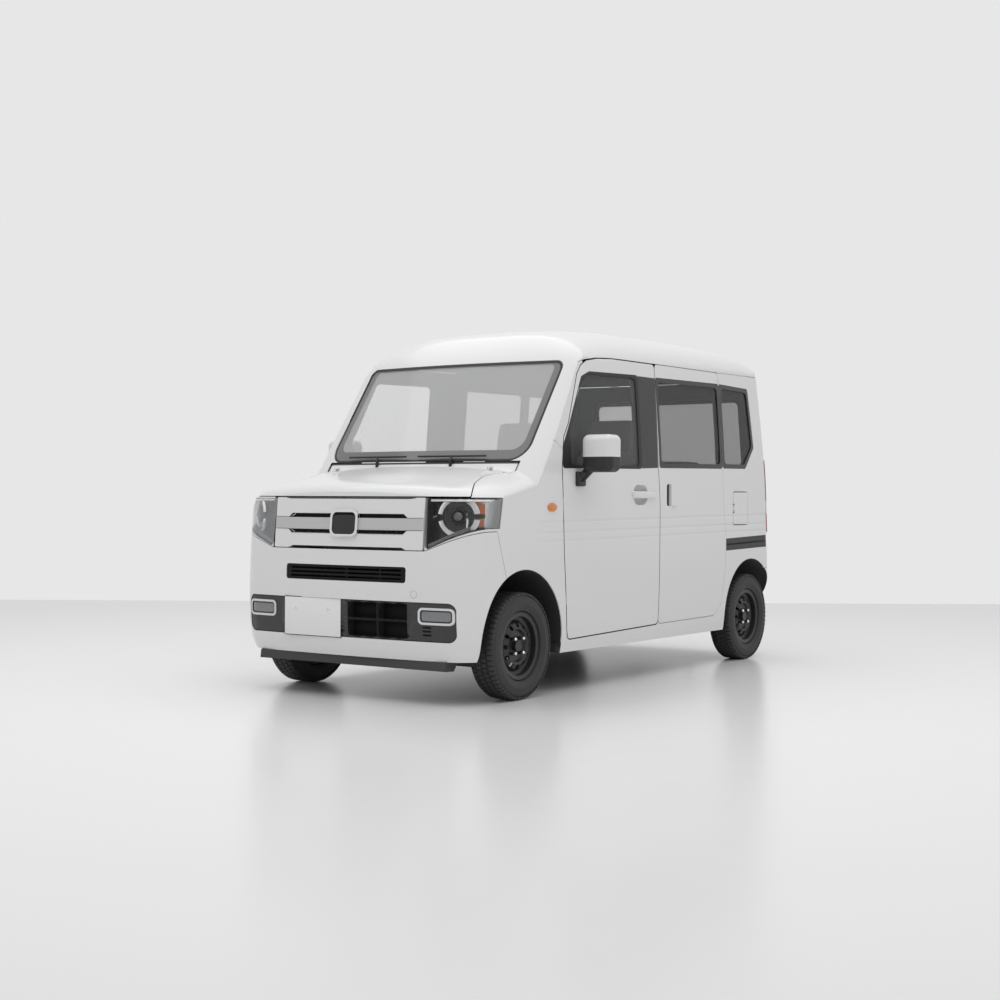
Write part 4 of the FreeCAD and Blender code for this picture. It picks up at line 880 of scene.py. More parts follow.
def pressed_lines_group():
    """Node group: grooves along the body sides, as a share of their depth."""
    lines = ("Low", "Middle", "High")
    group = new_tree("pressed_lines", "ShaderNodeTree",
                     (*zip(lines, ["Float"] * 3, (0.771, 0.814, 0.8675)),
                      ("Half Width", "Float", 0.012), ("Slope", "Float", 0.0103)),
                     (("Height", "Float"),))
    made = wire(group, {
        "start": ("NodeGroupInput", None, {}),
        "end": ("NodeGroupOutput", None, {}),
        "place": ("ShaderNodeTexCoord", None, {}),
        "split": ("ShaderNodeSeparateXYZ", None, {}),
        "fade": ("ShaderNodeMapRange", None,
                 {"From Min": GROOVE_FADE[0], "From Max": GROOVE_FADE[1]}),
    }, (("place", "Object", "split", 0), ("split", "Y", "fade", "Value")))
    made["fade"].interpolation_type = "SMOOTHSTEP"
    given = made["start"].outputs
    along = made["split"].outputs

    def figure(kind, *values):
        """Output of a math node whose inputs are numbers or other outputs."""
        node = group.nodes.new("ShaderNodeMath")
        node.operation = kind
        for socket, value in zip(node.inputs, values):
            if isinstance(value, float):
                socket.default_value = value
            else:
                group.links.new(value, socket)
        return node.outputs[0]

    from_front = figure("ADD", along["Y"], GROOVE_FRONT)
    height = figure("SUBTRACT", along["Z"], figure("MULTIPLY", from_front, given["Slope"]))
    total = None
    for name in lines:
        away = figure("ABSOLUTE", figure("SUBTRACT", height, given[name]))
        share = figure("MINIMUM", figure("DIVIDE", away, given["Half Width"]), 1.0)
        groove = figure("SUBTRACT", 1.0, share)
        total = groove if total is None else figure("ADD", total, groove)
    outside = figure("GREATER_THAN", figure("ABSOLUTE", along["X"]), GROOVE_SIDE)
    shown = figure("MULTIPLY", figure("MULTIPLY", total, made["fade"].outputs["Result"]),
                   outside)
    group.links.new(shown, made["end"].inputs["Height"])
    return group


def add_pressed_lines(tree):
    """Press the lines of the sides into the body's paint."""
    lines = tree.nodes.new("ShaderNodeGroup")
    lines.name = "lines"
    lines.node_tree = pressed_lines_group()
    depth = bpy.context.scene.van_sizes.groove_depth
    wire(tree, {"bump": ("ShaderNodeBump", None, {"Distance": -depth})},
         (("lines", "Height", "bump", "Height"),
          ("bump", "Normal", "Principled BSDF", "Normal")))


def add_painted_slant_reflection(tree):
    """Paint a reflection onto a clear cover where it is seen at a slant: its pale colour and its
    gloss show more there.
    """
    wire(tree, {
        "slant": ("ShaderNodeFresnel", None, {"IOR": 1.45}),
        "share": ("ShaderNodeMapRange", None, {"From Min": 0.045, "From Max": 0.6,
                                               "To Min": 0.012, "To Max": 0.40}),
    }, (("slant", 0, "share", "Value"), ("share", "Result", "Principled BSDF", "Alpha")))


def look(name):
    """Material of a finish or a glass by its name, made at its first use."""
    if name in MATERIALS:
        return MATERIALS[name]
    material = bpy.data.materials.new(name)
    material.use_nodes = True
    tree = material.node_tree
    if name in GLASSES:
        colour, density = GLASSES[name]
        values = {"Roughness": 0.02, "Alpha": density, "Specular IOR Level": 0.5}
    else:
        colour, roughness, (scale, spread, height), values = FINISHES[name]
        grain = tree.nodes.new("ShaderNodeGroup")
        grain.name = "grain"
        grain.node_tree = grain_group()
        for key, value in (("Scale", scale), ("Roughness", roughness), ("Spread", spread),
                           ("Height", height)):
            grain.inputs[key].default_value = value
        sockets = ("Roughness", "Normal") if height else ("Roughness",)
        wire(tree, {}, [("grain", key, "Principled BSDF", key) for key in sockets])
    if isinstance(colour, str):
        colour = getattr(bpy.context.scene.van_colours, colour)
    shader = tree.nodes["Principled BSDF"]
    for key, value in {"Base Color": (*colour, 1), **values}.items():
        shader.inputs[key].default_value = value
    if name == "body_paint":
        add_pressed_lines(tree)
    # Lamp covers get a painted reflection where they are seen at a slant
    if name == "lamp_cover":
        add_painted_slant_reflection(tree)
    MATERIALS[name] = material
    return material


# Camera of the photo: place, and yaw, pitch and roll in degrees
CAMERA_PLACE = Vector((5.0512, -7.6696, 0.9858))
CAMERA_ANGLES = (-34.578, -0.0395, 0.2628)
CAMERA_LENS = 57.26

# Floor: how far it runs ahead of the camera, back from there and to each side
FLOOR_AHEAD = 15.2
FLOOR_BACK = 90
FLOOR_SIDE = 60

# Light of the room from its floor to its top, and the backdrop that the camera sees
ROOM_RAMP = ((0.0, (0.62, 0.62, 0.63, 1)), (0.30, (0.72, 0.72, 0.725, 1)),
             (0.9, (1.0, 1.0, 1.0, 1)))
ROOM_LIGHT = 0.62
BACKDROP = (0.80, 0.80, 0.805, 1)

# Square lamp under the ceiling: place, width in metres and power in watts
CEILING_PLACE = (0.8, -1.5, 5.2)
CEILING_WIDTH = 9.0
CEILING_POWER = 200.0


class VAN_OT_stage(bpy.types.Operator):
    """Floor, light and camera"""
    bl_idname = "van.stage"
    bl_label = "Stage"

    def execute(self, context):
        scene = context.scene
        scene.view_settings.view_transform = "Standard"
        yaw, pitch, roll = (math.radians(angle) for angle in CAMERA_ANGLES)
        ahead = Vector((math.sin(yaw), math.cos(yaw), 0))
        right = Vector((math.cos(yaw), -math.sin(yaw), 0))
        edge = Vector((CAMERA_PLACE.x, CAMERA_PLACE.y, 0)) + ahead * FLOOR_AHEAD
        bm = bmesh.new()
        bm.faces.new([bm.verts.new(edge + right * aside - ahead * back) for aside, back in (
            (-FLOOR_SIDE, FLOOR_BACK), (FLOOR_SIDE, FLOOR_BACK), (FLOOR_SIDE, 0),
            (-FLOOR_SIDE, 0))])
        coated(from_bmesh("floor", bm), "floor_paint")

        world = bpy.data.worlds.new("plain_room")
        scene.world = world
        world.use_nodes = True
        made = wire(world.node_tree, {
            "place": ("ShaderNodeTexCoord", None, {}),
            "split": ("ShaderNodeSeparateXYZ", None, {}),
            "ramp": ("ShaderNodeValToRGB", None, {}),
            "seen": ("ShaderNodeBackground", None, {"Color": BACKDROP}),
            "path": ("ShaderNodeLightPath", None, {}),
            "either": ("ShaderNodeMath", "MAXIMUM", {}),
            "any": ("ShaderNodeMath", "MAXIMUM", {}),
            "mix": ("ShaderNodeMixShader", None, {}),
        }, (
            ("place", "Generated", "split", 0), ("split", "Z", "ramp", "Fac"),
            ("ramp", "Color", "Background", "Color"), ("path", "Is Camera Ray", "either", 0),
            ("path", "Is Glossy Ray", "either", 1), ("either", 0, "any", 0),
            ("path", "Is Transmission Ray", "any", 1), ("any", 0, "mix", 0),
            ("Background", 0, "mix", 1), ("seen", 0, "mix", 2),
            ("mix", 0, "World Output", "Surface"),
        ))
        light = world.node_tree.nodes["Background"]
        light.inputs["Strength"].default_value = ROOM_LIGHT
        stops = made["ramp"].color_ramp.elements
        stops.new(0.5)
        for stop, (position, color) in zip(stops, ROOM_RAMP):
            stop.position = position
            stop.color = color

        lamp = bpy.data.lights.new("ceiling", "AREA")
        lamp.shape = "RECTANGLE"
        lamp.size = lamp.size_y = CEILING_WIDTH
        lamp.energy = CEILING_POWER
        ceiling = bpy.data.objects.new("ceiling", lamp)
        ceiling.location = CEILING_PLACE
        scene.collection.objects.link(ceiling)

        camera = bpy.data.cameras.new("camera")
        camera.lens = CAMERA_LENS
        camera.sensor_width = 36.0
        camera.clip_end = 200
        view = bpy.data.objects.new("camera", camera)
        scene.collection.objects.link(view)
        forward = Vector((math.sin(yaw) * math.cos(pitch), math.cos(yaw) * math.cos(pitch),
                          math.sin(pitch)))
        across = right * math.cos(roll) + right.cross(forward) * math.sin(roll)
        basis = Matrix((across, across.cross(forward), -forward)).transposed().to_4x4()
        view.matrix_world = Matrix.Translation(CAMERA_PLACE) @ basis
        scene.camera = view
        return {"FINISHED"}


# Painted or black areas as (low u, low v, high u, high v): the recesses of the fuel lid and
# of the door handles in (y, z), the badge's ground and the lower grid in (x, z)
LID_RECESS = (FUEL_LID[0][0] - 0.03, 0.80, FUEL_LID[1][0] + 0.03, 1.06)
HANDLE_RECESS = (-0.16, 0.95, 0.13, 1.07)
BADGE_GROUND = (-0.0745, 0.808, 0.0745, 0.920)
LOWER_GRID = (0.0225, 0.314, 0.393, 0.486)
# Depths down to which reveals and handle recess count, and half width of the lid's bed
REVEAL_DEPTH = 0.05
HANDLE_DEPTH = 0.024
LID_RECESS_BED = 0.705


def within(area, u, v):
    """Which of the points (u, v) lie inside an area."""
    return (u > area[0]) & (u < area[2]) & (v > area[1]) & (v < area[3])


def window_rule(outline, axis=1):
    """Rule that makes the reveals of a window opening black."""
    wide = grown(outline, 0.008)

    def rule(index, centres, outer, depth):
        inside = in_outline(wide, centres[:, axis], centres[:, 2])
        return np.where(inside & ~outer & (depth < REVEAL_DEPTH), 2, index)
    return rule


def side_rule(outline):
    """Rule of a side piece: black window reveals, painted fuel lid recess."""
    reveals = window_rule(outline)

    def rule(index, centres, outer, depth):
        index = reveals(index, centres, outer, depth)
        lid = within(LID_RECESS, centres[:, 1], centres[:, 2])
        return np.where(lid & (abs(centres[:, 0]) > LID_RECESS_BED), 0, index)
    return rule


def door_rule(index, centres, outer, depth):
    """Front door: black window reveals and a painted handle recess."""
    index = window_rule(FRONT_WINDOW)(index, centres, outer, depth)
    recess = within(HANDLE_RECESS, centres[:, 1], centres[:, 2])
    return np.where(recess & (depth < HANDLE_DEPTH), 0, index)


def grille_rule(index, centres, outer, depth):
    """Upper grille: white bars, black slots and a black ground behind the ring."""
    ground = within(BADGE_GROUND, centres[:, 0], centres[:, 2])
    return np.where((outer | (depth < 0.0)) & ~ground, 0, 2)


class VAN_OT_paintwork(bpy.types.Operator):
    """Painted panels with even reflections"""
    bl_idname = "van.paintwork"
    bl_label = "Paintwork"

    def execute(self, context):
        for rule, nodes in (
                (None, ("roof_panel", "front_wings", "front_bumper", "rear_bumper", "bonnet",
                        "fuel_lid")),
                (door_rule, ("front_door_left", "front_door_right")),
                (side_rule(QUARTER_WINDOW), ("side_panel_left", "side_panel_right")),
                (side_rule(SLIDE_WINDOW), ("sliding_doors",)),
                (window_rule(GATE_WINDOW, 0), ("tailgate",))):
            for node in nodes:
                skinned(node, rule=rule)
        grille = skinned("upper_grille", "grille_white", grille_rule)
        grille.data.materials[2] = look("deep_black")
        return {"FINISHED"}


class VAN_OT_glazing(bpy.types.Operator):
    """Windows with their black edges and seals"""
    bl_idname = "van.glazing"
    bl_label = "Glazing"

    def execute(self, context):
        for node, glass in (
                ("windscreen", "screen_glass"), ("front_door_glass_left", "clear_glass"),
                ("front_door_glass_right", "clear_glass"), ("side_glass", "privacy_glass"),
                ("tailgate_glass", "privacy_glass")):
            coated(NODES[node], glass)
        for side, name in SIDES:
            door = "front_door_" + name
            seal = ring_sheet("door_seal_" + name, rounded(SEAL_OUTER, 0.02),
                              rounded(SEAL_INNER, [0.015, 0.02, 0.03, 0.03, 0.012, 0.012]),
                              side_place(side, -0.0008),
                              context.scene.van_sizes.seal_thickness)
            finish(seal, "seal_and_shade_black", door, "black_plastic")
            post = thick_sheet("door_post_" + name, rounded(DOOR_POST, 0.003),
                               side_place(side, -0.0010), 0.003)
            finish(post, "gloss_black", door, "black_plastic")
            for piece, outline in (("slider_frame_", SLIDE_WINDOW),
                                   ("quarter_frame_", QUARTER_WINDOW)):
                band = ring_sheet(piece + name, rounded(grown(outline, 0.0065), 0.018),
                                  rounded(grown(outline, -0.020), 0.03),
                                  side_place(side, -0.0006), 0.0026)
                finish(band, "gloss_black", "body_shell", "black_plastic")
        outer = rounded(grown(SCREEN, 0.0005), [0.088, 0.088, 0.04, 0.04])
        band = ring_sheet("screen_band", outer, rounded(SCREEN_CLEAR, [0.06, 0.06, 0.03, 0.03]),
                          screen_place(0.0040), 0.0009, 0.03)
        finish(band, "screen_edge", "body_shell", "black_plastic")
        rim = rounded(grown(SCREEN, -0.009), [0.080, 0.080, 0.034, 0.034])
        seal = ring_sheet("screen_seal", outer, rim, screen_place(0.0026), 0.0013, 0.03)
        finish(seal, "seal_and_shade_black", "body_shell", "black_plastic")
        band = ring_sheet("tailgate_band", rounded(grown(GATE_WINDOW, 0.004), 0.04),
                          rounded(grown(GATE_WINDOW, -0.03), 0.03),
                          nose_place(-0.0006, -1), 0.0026)
        finish(band, "gloss_black", "tailgate", "black_plastic")
        return {"FINISHED"}


# Headlamp: axis, direction across it, and centres of the ring and of the projector; its
# outline runs in the length round the nose from the grille to the wing
LAMP_AXIS = Vector((math.sin(math.radians(33)), -math.cos(math.radians(33)), 0))
LAMP_ACROSS = Vector((-LAMP_AXIS.y, LAMP_AXIS.x, 0))
RING_CENTRE = Vector((0.634, -1.600, 0.9005))
PROJECTOR = RING_CENTRE - LAMP_ACROSS * 0.004
# Arcs of the ring in degrees, steps of an arc, and height of its flat top
RING_ARCS = ((9, 66), (112, 172), (193, 351))
RING_STEPS = 24
RING_TOP = 0.9700
LAMP_START, LAMP_END, LAMP_TOP = 0.4805, 0.905, 0.9865
AMBER_PANEL = [(0.738, 0.9705), (0.812, 0.9705), (0.815, 0.905), (0.812, 0.852),
               (0.770, 0.852), (0.762, 0.880), (0.757, 0.905), (0.752, 0.93)]
LAMP_STRIP = [(0.4995, 0.9725), (0.4995, 0.9835), (0.872, 0.9835), (0.842, 0.9725)]
LAMP_BAR = [(0.508, 0.893), (0.530, 0.901), (0.530, 0.909), (0.508, 0.901)]

# Turned pieces of the projector as (along the axis, radius)
LAMP_DISC = [(-0.016, 0.0), (-0.016, 0.0748), (-0.006, 0.0748), (-0.008, 0.066),
             (-0.012, 0.045), (-0.012, 0.0)]
LAMP_BEZEL = [(-0.010, 0.0), (-0.010, 0.040), (0.006, 0.037), (0.009, 0.033),
              (0.006, 0.029), (-0.004, 0.027), (-0.004, 0.0)]
LAMP_DOME = [(-0.004, 0.0), (-0.004, 0.0265)]
LAMP_DOME += [(0.018 * math.cos(math.radians(a)) - 0.002, 0.0265 * math.sin(math.radians(a)))
              for a in (80, 65, 50, 35, 20, 0)]


def lamp_edge(s):
    """Lower edge of the headlamp at a length round the nose."""
    x = min(plan_point(s, 0.8)[0].x, 0.7365)
    return 0.744 + (x - 0.486) * 0.4058


def lamp_outline(shrink, start=None):
    """Outline of the left headlamp in (length, height), drawn in by a distance."""
    s0 = LAMP_START + shrink if start is None else start
    s1 = LAMP_END - shrink
    top = LAMP_TOP - shrink
    points = [(s0, top), (max(s0, 0.490 + shrink), lamp_edge(0.49) + 0.004 + shrink)]
    for s in np.linspace(max(s0, 0.50) + 0.01, s1, 12):
        points.append((float(s), lamp_edge(float(s)) + shrink))
    points.append((s1 + 0.024, top))
    return points


def lamp_lip():
    """Outline of the grey lip along the lower edge of the headlamp."""
    points = [(0.493, lamp_edge(0.49) + 0.006)]
    for first, last, above in ((0.50, 0.72, 0.006), (0.72, 0.50, 0.022)):
        points += [(float(s), lamp_edge(float(s)) + above) for s in np.linspace(first, last, 8)]
    points.append((0.493, lamp_edge(0.49) + 0.024))
    return points


def turned(name, profile, centre, axis, segments=48, smooth=0.6):
    """Turned piece about any axis from a closed (along, radius) profile."""
    axis = Vector(axis).normalized()
    across = axis.orthogonal().normalized()
    other = axis.cross(across)
    bm = bmesh.new()
    rings = []
    for k in range(segments):
        a = 2 * math.pi * k / segments
        out = across * math.cos(a) + other * math.sin(a)
        rings.append([bm.verts.new(Vector(centre) + axis * u + out * max(r, 1e-5))
                      for u, r in profile])
    close_rings(bm, rings)
    bmesh.ops.remove_doubles(bm, verts=bm.verts, dist=5e-5)
    bmesh.ops.recalc_face_normals(bm, faces=bm.faces[:])
    return from_bmesh(name, bm, smooth)


def lamp_ring():
    """Open ring round the lamp's projector, cut flat under the strip."""
    front = RING_CENTRE + LAMP_AXIS * 0.010
    deep = PROJECTOR - LAMP_AXIS * 0.004
    bm = bmesh.new()
    for first, last in RING_ARCS:
        rows = []
        for k in range(RING_STEPS + 1):
            a = math.radians(first + (last - first) * k / RING_STEPS)
            row = []
            for base, radius, back in ((front, 0.1005, 0.012), (front, 0.0985, 0),
                                       (deep, 0.0765, 0), (deep, 0.0750, 0.012)):
                p = (base + LAMP_ACROSS * math.cos(a) * radius
                     + Vector((0, 0, math.sin(a) * radius)) - LAMP_AXIS * back)
                p.z = min(p.z, RING_TOP)
                row.append(bm.verts.new(p))
            rows.append(row)
        stack_rows(bm, rows)
    return from_bmesh("lamp_ring", bm, 0.7)


class VAN_OT_headlamps(bpy.types.Operator):
    """Headlamps: bowl, strip, ring, projector, amber panel and clear cover"""
    bl_idname = "van.headlamps"
    bl_label = "Headlamps"

    def execute(self, context):
        wall = ring_sheet("wall", lamp_outline(0.001), lamp_outline(0.004), wrap_place(0.0062),
                          0.060)
        parts = [coated(wall, "lamp_black"), coated(lamp_ring(), "lamp_ring")]
        for outline, inset, thickness, finish_name in (
                (lamp_outline(0.004), 0.0625, 0.003, "lamp_black"),
                (lamp_outline(0.006, 0.70), 0.042, 0.004, "lamp_silver"),
                (lamp_lip(), 0.012, 0.012, "lamp_lip"),
                (rounded(LAMP_STRIP, 0.001), 0.0075, 0.020, "lamp_ring"),
                (AMBER_PANEL, 0.026, 0.004, "amber_lens"),
                (rect(0.700, 0.893, 0.812, 0.9125), 0.021, 0.004, "lamp_black"),
                (LAMP_BAR, 0.02, 0.004, "lamp_lip")):
            parts.append(coated(thick_sheet("sheet", outline, wrap_place(inset), thickness),
                                finish_name))
        for profile, finish_name in ((LAMP_DISC, "gloss_black"), (LAMP_BEZEL, "gloss_black"),
                                     (LAMP_DOME, "projector_lens")):
            piece = turned("turned", profile, PROJECTOR, LAMP_AXIS)
            parts.append(coated(piece, finish_name))
        left = joined("headlamp_left", parts)
        for obj in (left, mirror_copy(left, "headlamp_right")):
            finish(obj, None, "body_shell", "lamp_silver", "headlamps")
        mesh = merged("headlamp_lenses", "lamp_covers")
        shade_by_form(mesh)
        finish(new_object("lamp_covers", mesh), "lamp_cover", "body_shell", "clear_glass",
               "headlamp_lenses")
        return {"FINISHED"}


def repeat_tree():
    """Node tree that sets copies of a shape along a line or round an axle, built once."""
    if "van_repeat" in bpy.data.node_groups:
        return bpy.data.node_groups["van_repeat"]
    tree = new_tree("van_repeat", "GeometryNodeTree",
                    (("Geometry", "Geometry", None), ("Count", "Int", 4),
                     ("Centre", "Vector", (0, 0, 0)), ("Step", "Vector", (0, 0, 0)),
                     ("First Angle", "Float", 0.0), ("Turn", "Float", 0.0),
                     ("Material", "Material", None)), (("Geometry", "Geometry"),))
    wire(tree, {
        "start": ("NodeGroupInput", None, {}),
        "end": ("NodeGroupOutput", None, {}),
        "points": ("GeometryNodePoints", None, {}),
        "index": ("GeometryNodeInputIndex", None, {}),
        "step": ("ShaderNodeVectorMath", "SCALE", {}),
        "shift": ("ShaderNodeVectorMath", "ADD", {}),
        "turn": ("ShaderNodeMath", "MULTIPLY_ADD", {}),
        "angle": ("ShaderNodeCombineXYZ", None, {}),
        "placed": ("GeometryNodeInstanceOnPoints", None, {}),
        "real": ("GeometryNodeRealizeInstances", None, {}),
        "coat": ("GeometryNodeSetMaterial", None, {}),
    }, (
        ("start", "Count", "points", "Count"), ("start", "Step", "step", 0),
        ("index", 0, "step", "Scale"), ("step", 0, "shift", 0),
        ("start", "Centre", "shift", 1), ("shift", 0, "points", "Position"),
        ("index", 0, "turn", 0), ("start", "Turn", "turn", 1),
        ("start", "First Angle", "turn", 2), ("turn", 0, "angle", "X"),
        ("points", 0, "placed", "Points"), ("start", "Geometry", "placed", "Instance"),
        ("angle", 0, "placed", "Rotation"), ("placed", 0, "real", 0),
        ("real", 0, "coat", "Geometry"), ("start", "Material", "coat", "Material"),
        ("coat", 0, "end", 0),
    ))
    return tree


def repeated(name, shape, finish_name, count, centre, step=(0, 0, 0), first=0.0, turn=0.0):
    """Plain mesh object of a shape repeated along a step or round an axle along X."""
    tree = repeat_tree()
    modifier = shape.modifiers.new("repeat", "NODES")
    modifier.node_group = tree
    values = {"Count": count, "Centre": centre, "Step": step, "First Angle": first,
              "Turn": turn, "Material": look(finish_name)}
    for item in tree.interface.items_tree:
        if item.item_type == "SOCKET" and item.in_out == "INPUT" and item.name in values:
            modifier[item.identifier] = values[item.name]
    shape.update_tag()
    evaluated = shape.evaluated_get(bpy.context.evaluated_depsgraph_get())
    mesh = bpy.data.meshes.new_from_object(evaluated)
    mesh.name = name
    shape.modifiers.clear()
    bpy.data.objects.remove(shape)
    return new_object(name, mesh)


# Upper grille: fine black lines of painted shade in the grooves at the ends of the slots and
# under the grille as tip, height and width; slots as half width and height of the tip and of
# the flat edge, and the width of that edge; the black strip of painted shade in the gap under
# the bonnet
GRILLE_LINES = ((0.372, 0.8905, 0.0022), (0.372, 0.8315, 0.0022), (0.392, 0.7365, 0.0016))
GRILLE_END = 0.4685
SLOT_EDGES = [(0.370, 0.891, 0.338, 0.9075, 0.0035), (0.368, 0.832, 0.338, 0.817, -0.0035)]
BONNET_GAP = [(-0.405, 0.9875), (-0.372, 0.9835), (0.386, 0.9835), (0.418, 0.9875),
              (0.418, 0.9895), (-0.405, 0.9895)]


class VAN_OT_upper_grille(bpy.types.Operator):
    """Black lines and strips of painted shade in the grooves, the bonnet gap and behind the
    slots; silver bars and bare ring of the upper grille
    """
    bl_idname = "van.upper_grille"
    bl_label = "Upper grille"

    def execute(self, context):
        sheets = []
        for side, _ in SIDES:
            for tip, z, high in GRILLE_LINES:
                line = [(side * tip, z), (side * GRILLE_END, z + 0.001),
                        (side * GRILLE_END, z + 0.001 + high), (side * tip, z + high)]
                # Black line along a groove: painted shade of the groove
                sheets.append((line, (), -0.0004, 0.0012, "seal_and_shade_black"))
        # Black strip in the gap under the bonnet: painted shade of the gap
        sheets.append((BONNET_GAP, (), -0.0006, 0.003, "seal_and_shade_black"))
        for tip, tip_z, flat, flat_z, out in SLOT_EDGES:
            outer = [(-tip - 0.008, tip_z), (tip + 0.008, tip_z),
                     (flat + 0.016, flat_z + out), (-flat - 0.016, flat_z + out)]
            lift = math.copysign(0.0006, flat_z - tip_z)
            inner = [(-tip, tip_z + lift), (tip, tip_z + lift), (flat, flat_z), (-flat, flat_z)]
            sheets.append((outer, [inner], -0.0016, 0.0040, "deep_black"))
        # Black blind behind the slots: painted shade that hides the light seen inside the nose
        sheets.append((rect(-0.462, 0.745, 0.462, 0.985), (), 0.010, 0.003, "deep_black"))
        lines = [coated(thick_sheet("line", outline, nose_place(inset), thickness, holes), black)
                 for outline, holes, inset, thickness, black in sheets]
        finish(joined("grille_lines", lines), None, "body_shell", "black_plastic")

        outer = rounded(rect(-0.087, 0.7965, 0.087, 0.931), 0.036, 8)
        inner = rounded(rect(-0.0735, 0.810, 0.0735, 0.9175), 0.026, 8)
        ring = ring_sheet("badge_ring", outer, inner, nose_place(-0.0135), 0.013)
        finish(bevelled(ring, 0.003), "bright_trim", "body_shell", "lamp_silver")
        plate = thick_sheet("badge_plate", rounded(rect(-0.075, 0.8085, 0.075, 0.919), 0.026, 8),
                            nose_place(-0.0085), 0.006)
        finish(plate, "gloss_black", "body_shell", "black_plastic")
        for side, name in SIDES:
            bar = thick_sheet("grille_bar_" + name,
                              rect(side * 0.084, 0.8345, side * 0.468, 0.8900),
                              nose_place(-0.0026), 0.0040)
            finish(bar, "satin_silver", "body_shell", "lamp_silver")
        return {"FINISHED"}


# Lower front: depth of the panel's face, height that parts the bumper's slot from the
# panel, first vane of the slot, posts in it, plate and its black frame, whose edge round
# the plate is a painted rim shadow, and the bolts
PANEL_DEPTH = 0.0095
SLOT_ABOVE = 0.55
FIRST_VANE = (-0.345, -1.6855, 0.620)
SLOT_POSTS = (0.019, 0.224)
PLATES = (("bare_plate", "plate_white", "paint",
           (-0.379, -1.6935, 0.3045), (-0.015, -1.6919, 0.4915)),
          # Black frame slightly larger than the plate: its thin dark edge is a painted rim
          # shadow
          ("plate_frame_and_shadow", "black_plastic", "black_plastic",
           (-0.3825, -1.6921, 0.3005), (-0.0110, -1.6900, 0.4955)))
BOLT = [(0.0, 0.0), (0.0, 0.0075), (0.0016, 0.0075), (0.0032, 0.006), (0.0032, 0.0)]
BOLT_PLACES = ((-0.305, -1.6936, 0.44), (-0.095, -1.6936, 0.44))
TOW_COVER = (0.4287, 0.5293)


class VAN_OT_lower_front(bpy.types.Operator):
    """Lower grille, fog lamps, bare plate, slot bars and a grey ring of painted shade round the
    tow cover
    """
    bl_idname = "van.lower_front"
    bl_label = "Lower front"

    def execute(self, context):
        mesh = merged("lower_grille", "lower_grille_panel")
        centres, _, depth = shade_by_form(mesh)
        x, z = centres[:, 0], centres[:, 2]
        face = depth < PANEL_DEPTH
        black = (z > SLOT_ABOVE) | (within(LOWER_GRID, x, z) & face)
        dressed(mesh, ("panel_plastic", "deep_black", "slot_black"),
                np.where(black, 2, np.where(face, 0, 1)))
        finish(new_object("lower_grille_panel", mesh), None, "body_shell", "black_plastic",
               "lower_grille")

        bm = bmesh.new()
        box_mesh(bm, (-0.0009, -0.004, -0.033), (0.0009, 0.004, 0.033))
        sizes = context.scene.van_sizes
        vanes = repeated("slot_vanes", from_bmesh("slot_vane", bm), "slot_black",
                         sizes.slot_vanes, FIRST_VANE, step=(sizes.vane_step, 0, 0))
        for v in vanes.data.vertices:
            v.co.y += nose_y(v.co.x, FIRST_VANE[2]) - NOSE / 1000
        finish(vanes, None, "body_shell", "black_plastic")
        posts = [coated(thick_sheet("post", rect(x - 0.004, 0.588, x + 0.004, 0.652),
                                    nose_place(0.006), 0.006), "slot_black")
                 for x in SLOT_POSTS]
        finish(joined("slot_posts", posts), None, "body_shell", "black_plastic")

        for name, finish_name, slot, low, high in PLATES:
            bm = bmesh.new()
            box_mesh(bm, low, high, 0.0006, 2)
            finish(from_bmesh(name, bm), finish_name, "body_shell", slot)
        bolts = [coated(turned("bolt", BOLT, place, (0, -1, 0), 24), "bright_trim")
                 for place in BOLT_PLACES]
        finish(joined("plate_bolts", bolts), None, "body_shell", "lamp_silver")

        coated(NODES["fog_lamps"], "fog_glass")
        for side, name in SIDES:
            outer = rounded(rect(side * 0.452, 0.3885, side * 0.648, 0.4685), 0.024, 8)
            edge = rect(side * 0.463, 0.399, side * 0.637, 0.458)
            inner = rounded(edge, 0.016, 8)
            bezel = ring_sheet("fog_bezel_" + name, outer, inner, nose_place(0.0005), 0.006,
                               0.03)
            finish(bevelled(bezel, 0.0015, 2), "bezel_silver", "body_shell", "lamp_silver")
            core = rounded(grown(edge, -0.007), 0.012, 8)
            frame_edge = ring_sheet("fog_edge_" + name, inner, core, nose_place(0.0035), 0.002,
                                    0.03)
            finish(frame_edge, "black_plastic", "body_shell", "black_plastic")
        vents = [coated(thick_sheet("vent", rounded(rect(0.476, z, 0.524, z + 0.009), 0.004),
                                    nose_place(0.0046), 0.0006), "deep_black")
                 for z in (0.334, 0.352, 0.370)]
        finish(joined("vent_slots", vents), None, "body_shell", "black_plastic")
        # Grey ring round the tow cover: painted shade of its gap
        outer = ellipse(TOW_COVER, 0.0182, 0.0182, 32)
        inner = ellipse(TOW_COVER, 0.0170, 0.0170, 32)
        finish(ring_sheet("tow_cover_line", outer, inner, nose_place(-0.0003), 0.001, 0.1),
               "gap_shade_grey", "body_shell", "paint")
        return {"FINISHED"}


# Marker lamp: centre in (y, z), half length and half height, and its rows as share of that
# outline and height over the skin
MARKER = (-0.9515, 0.9445)
MARKER_HALF = (0.043, 0.0215)
MARKER_ROWS = ((1.0, -0.002), (1.0, 0.003), (0.93, 0.0065), (0.75, 0.0085), (0.45, 0.0098))
MIRROR_SPLIT = 1.203


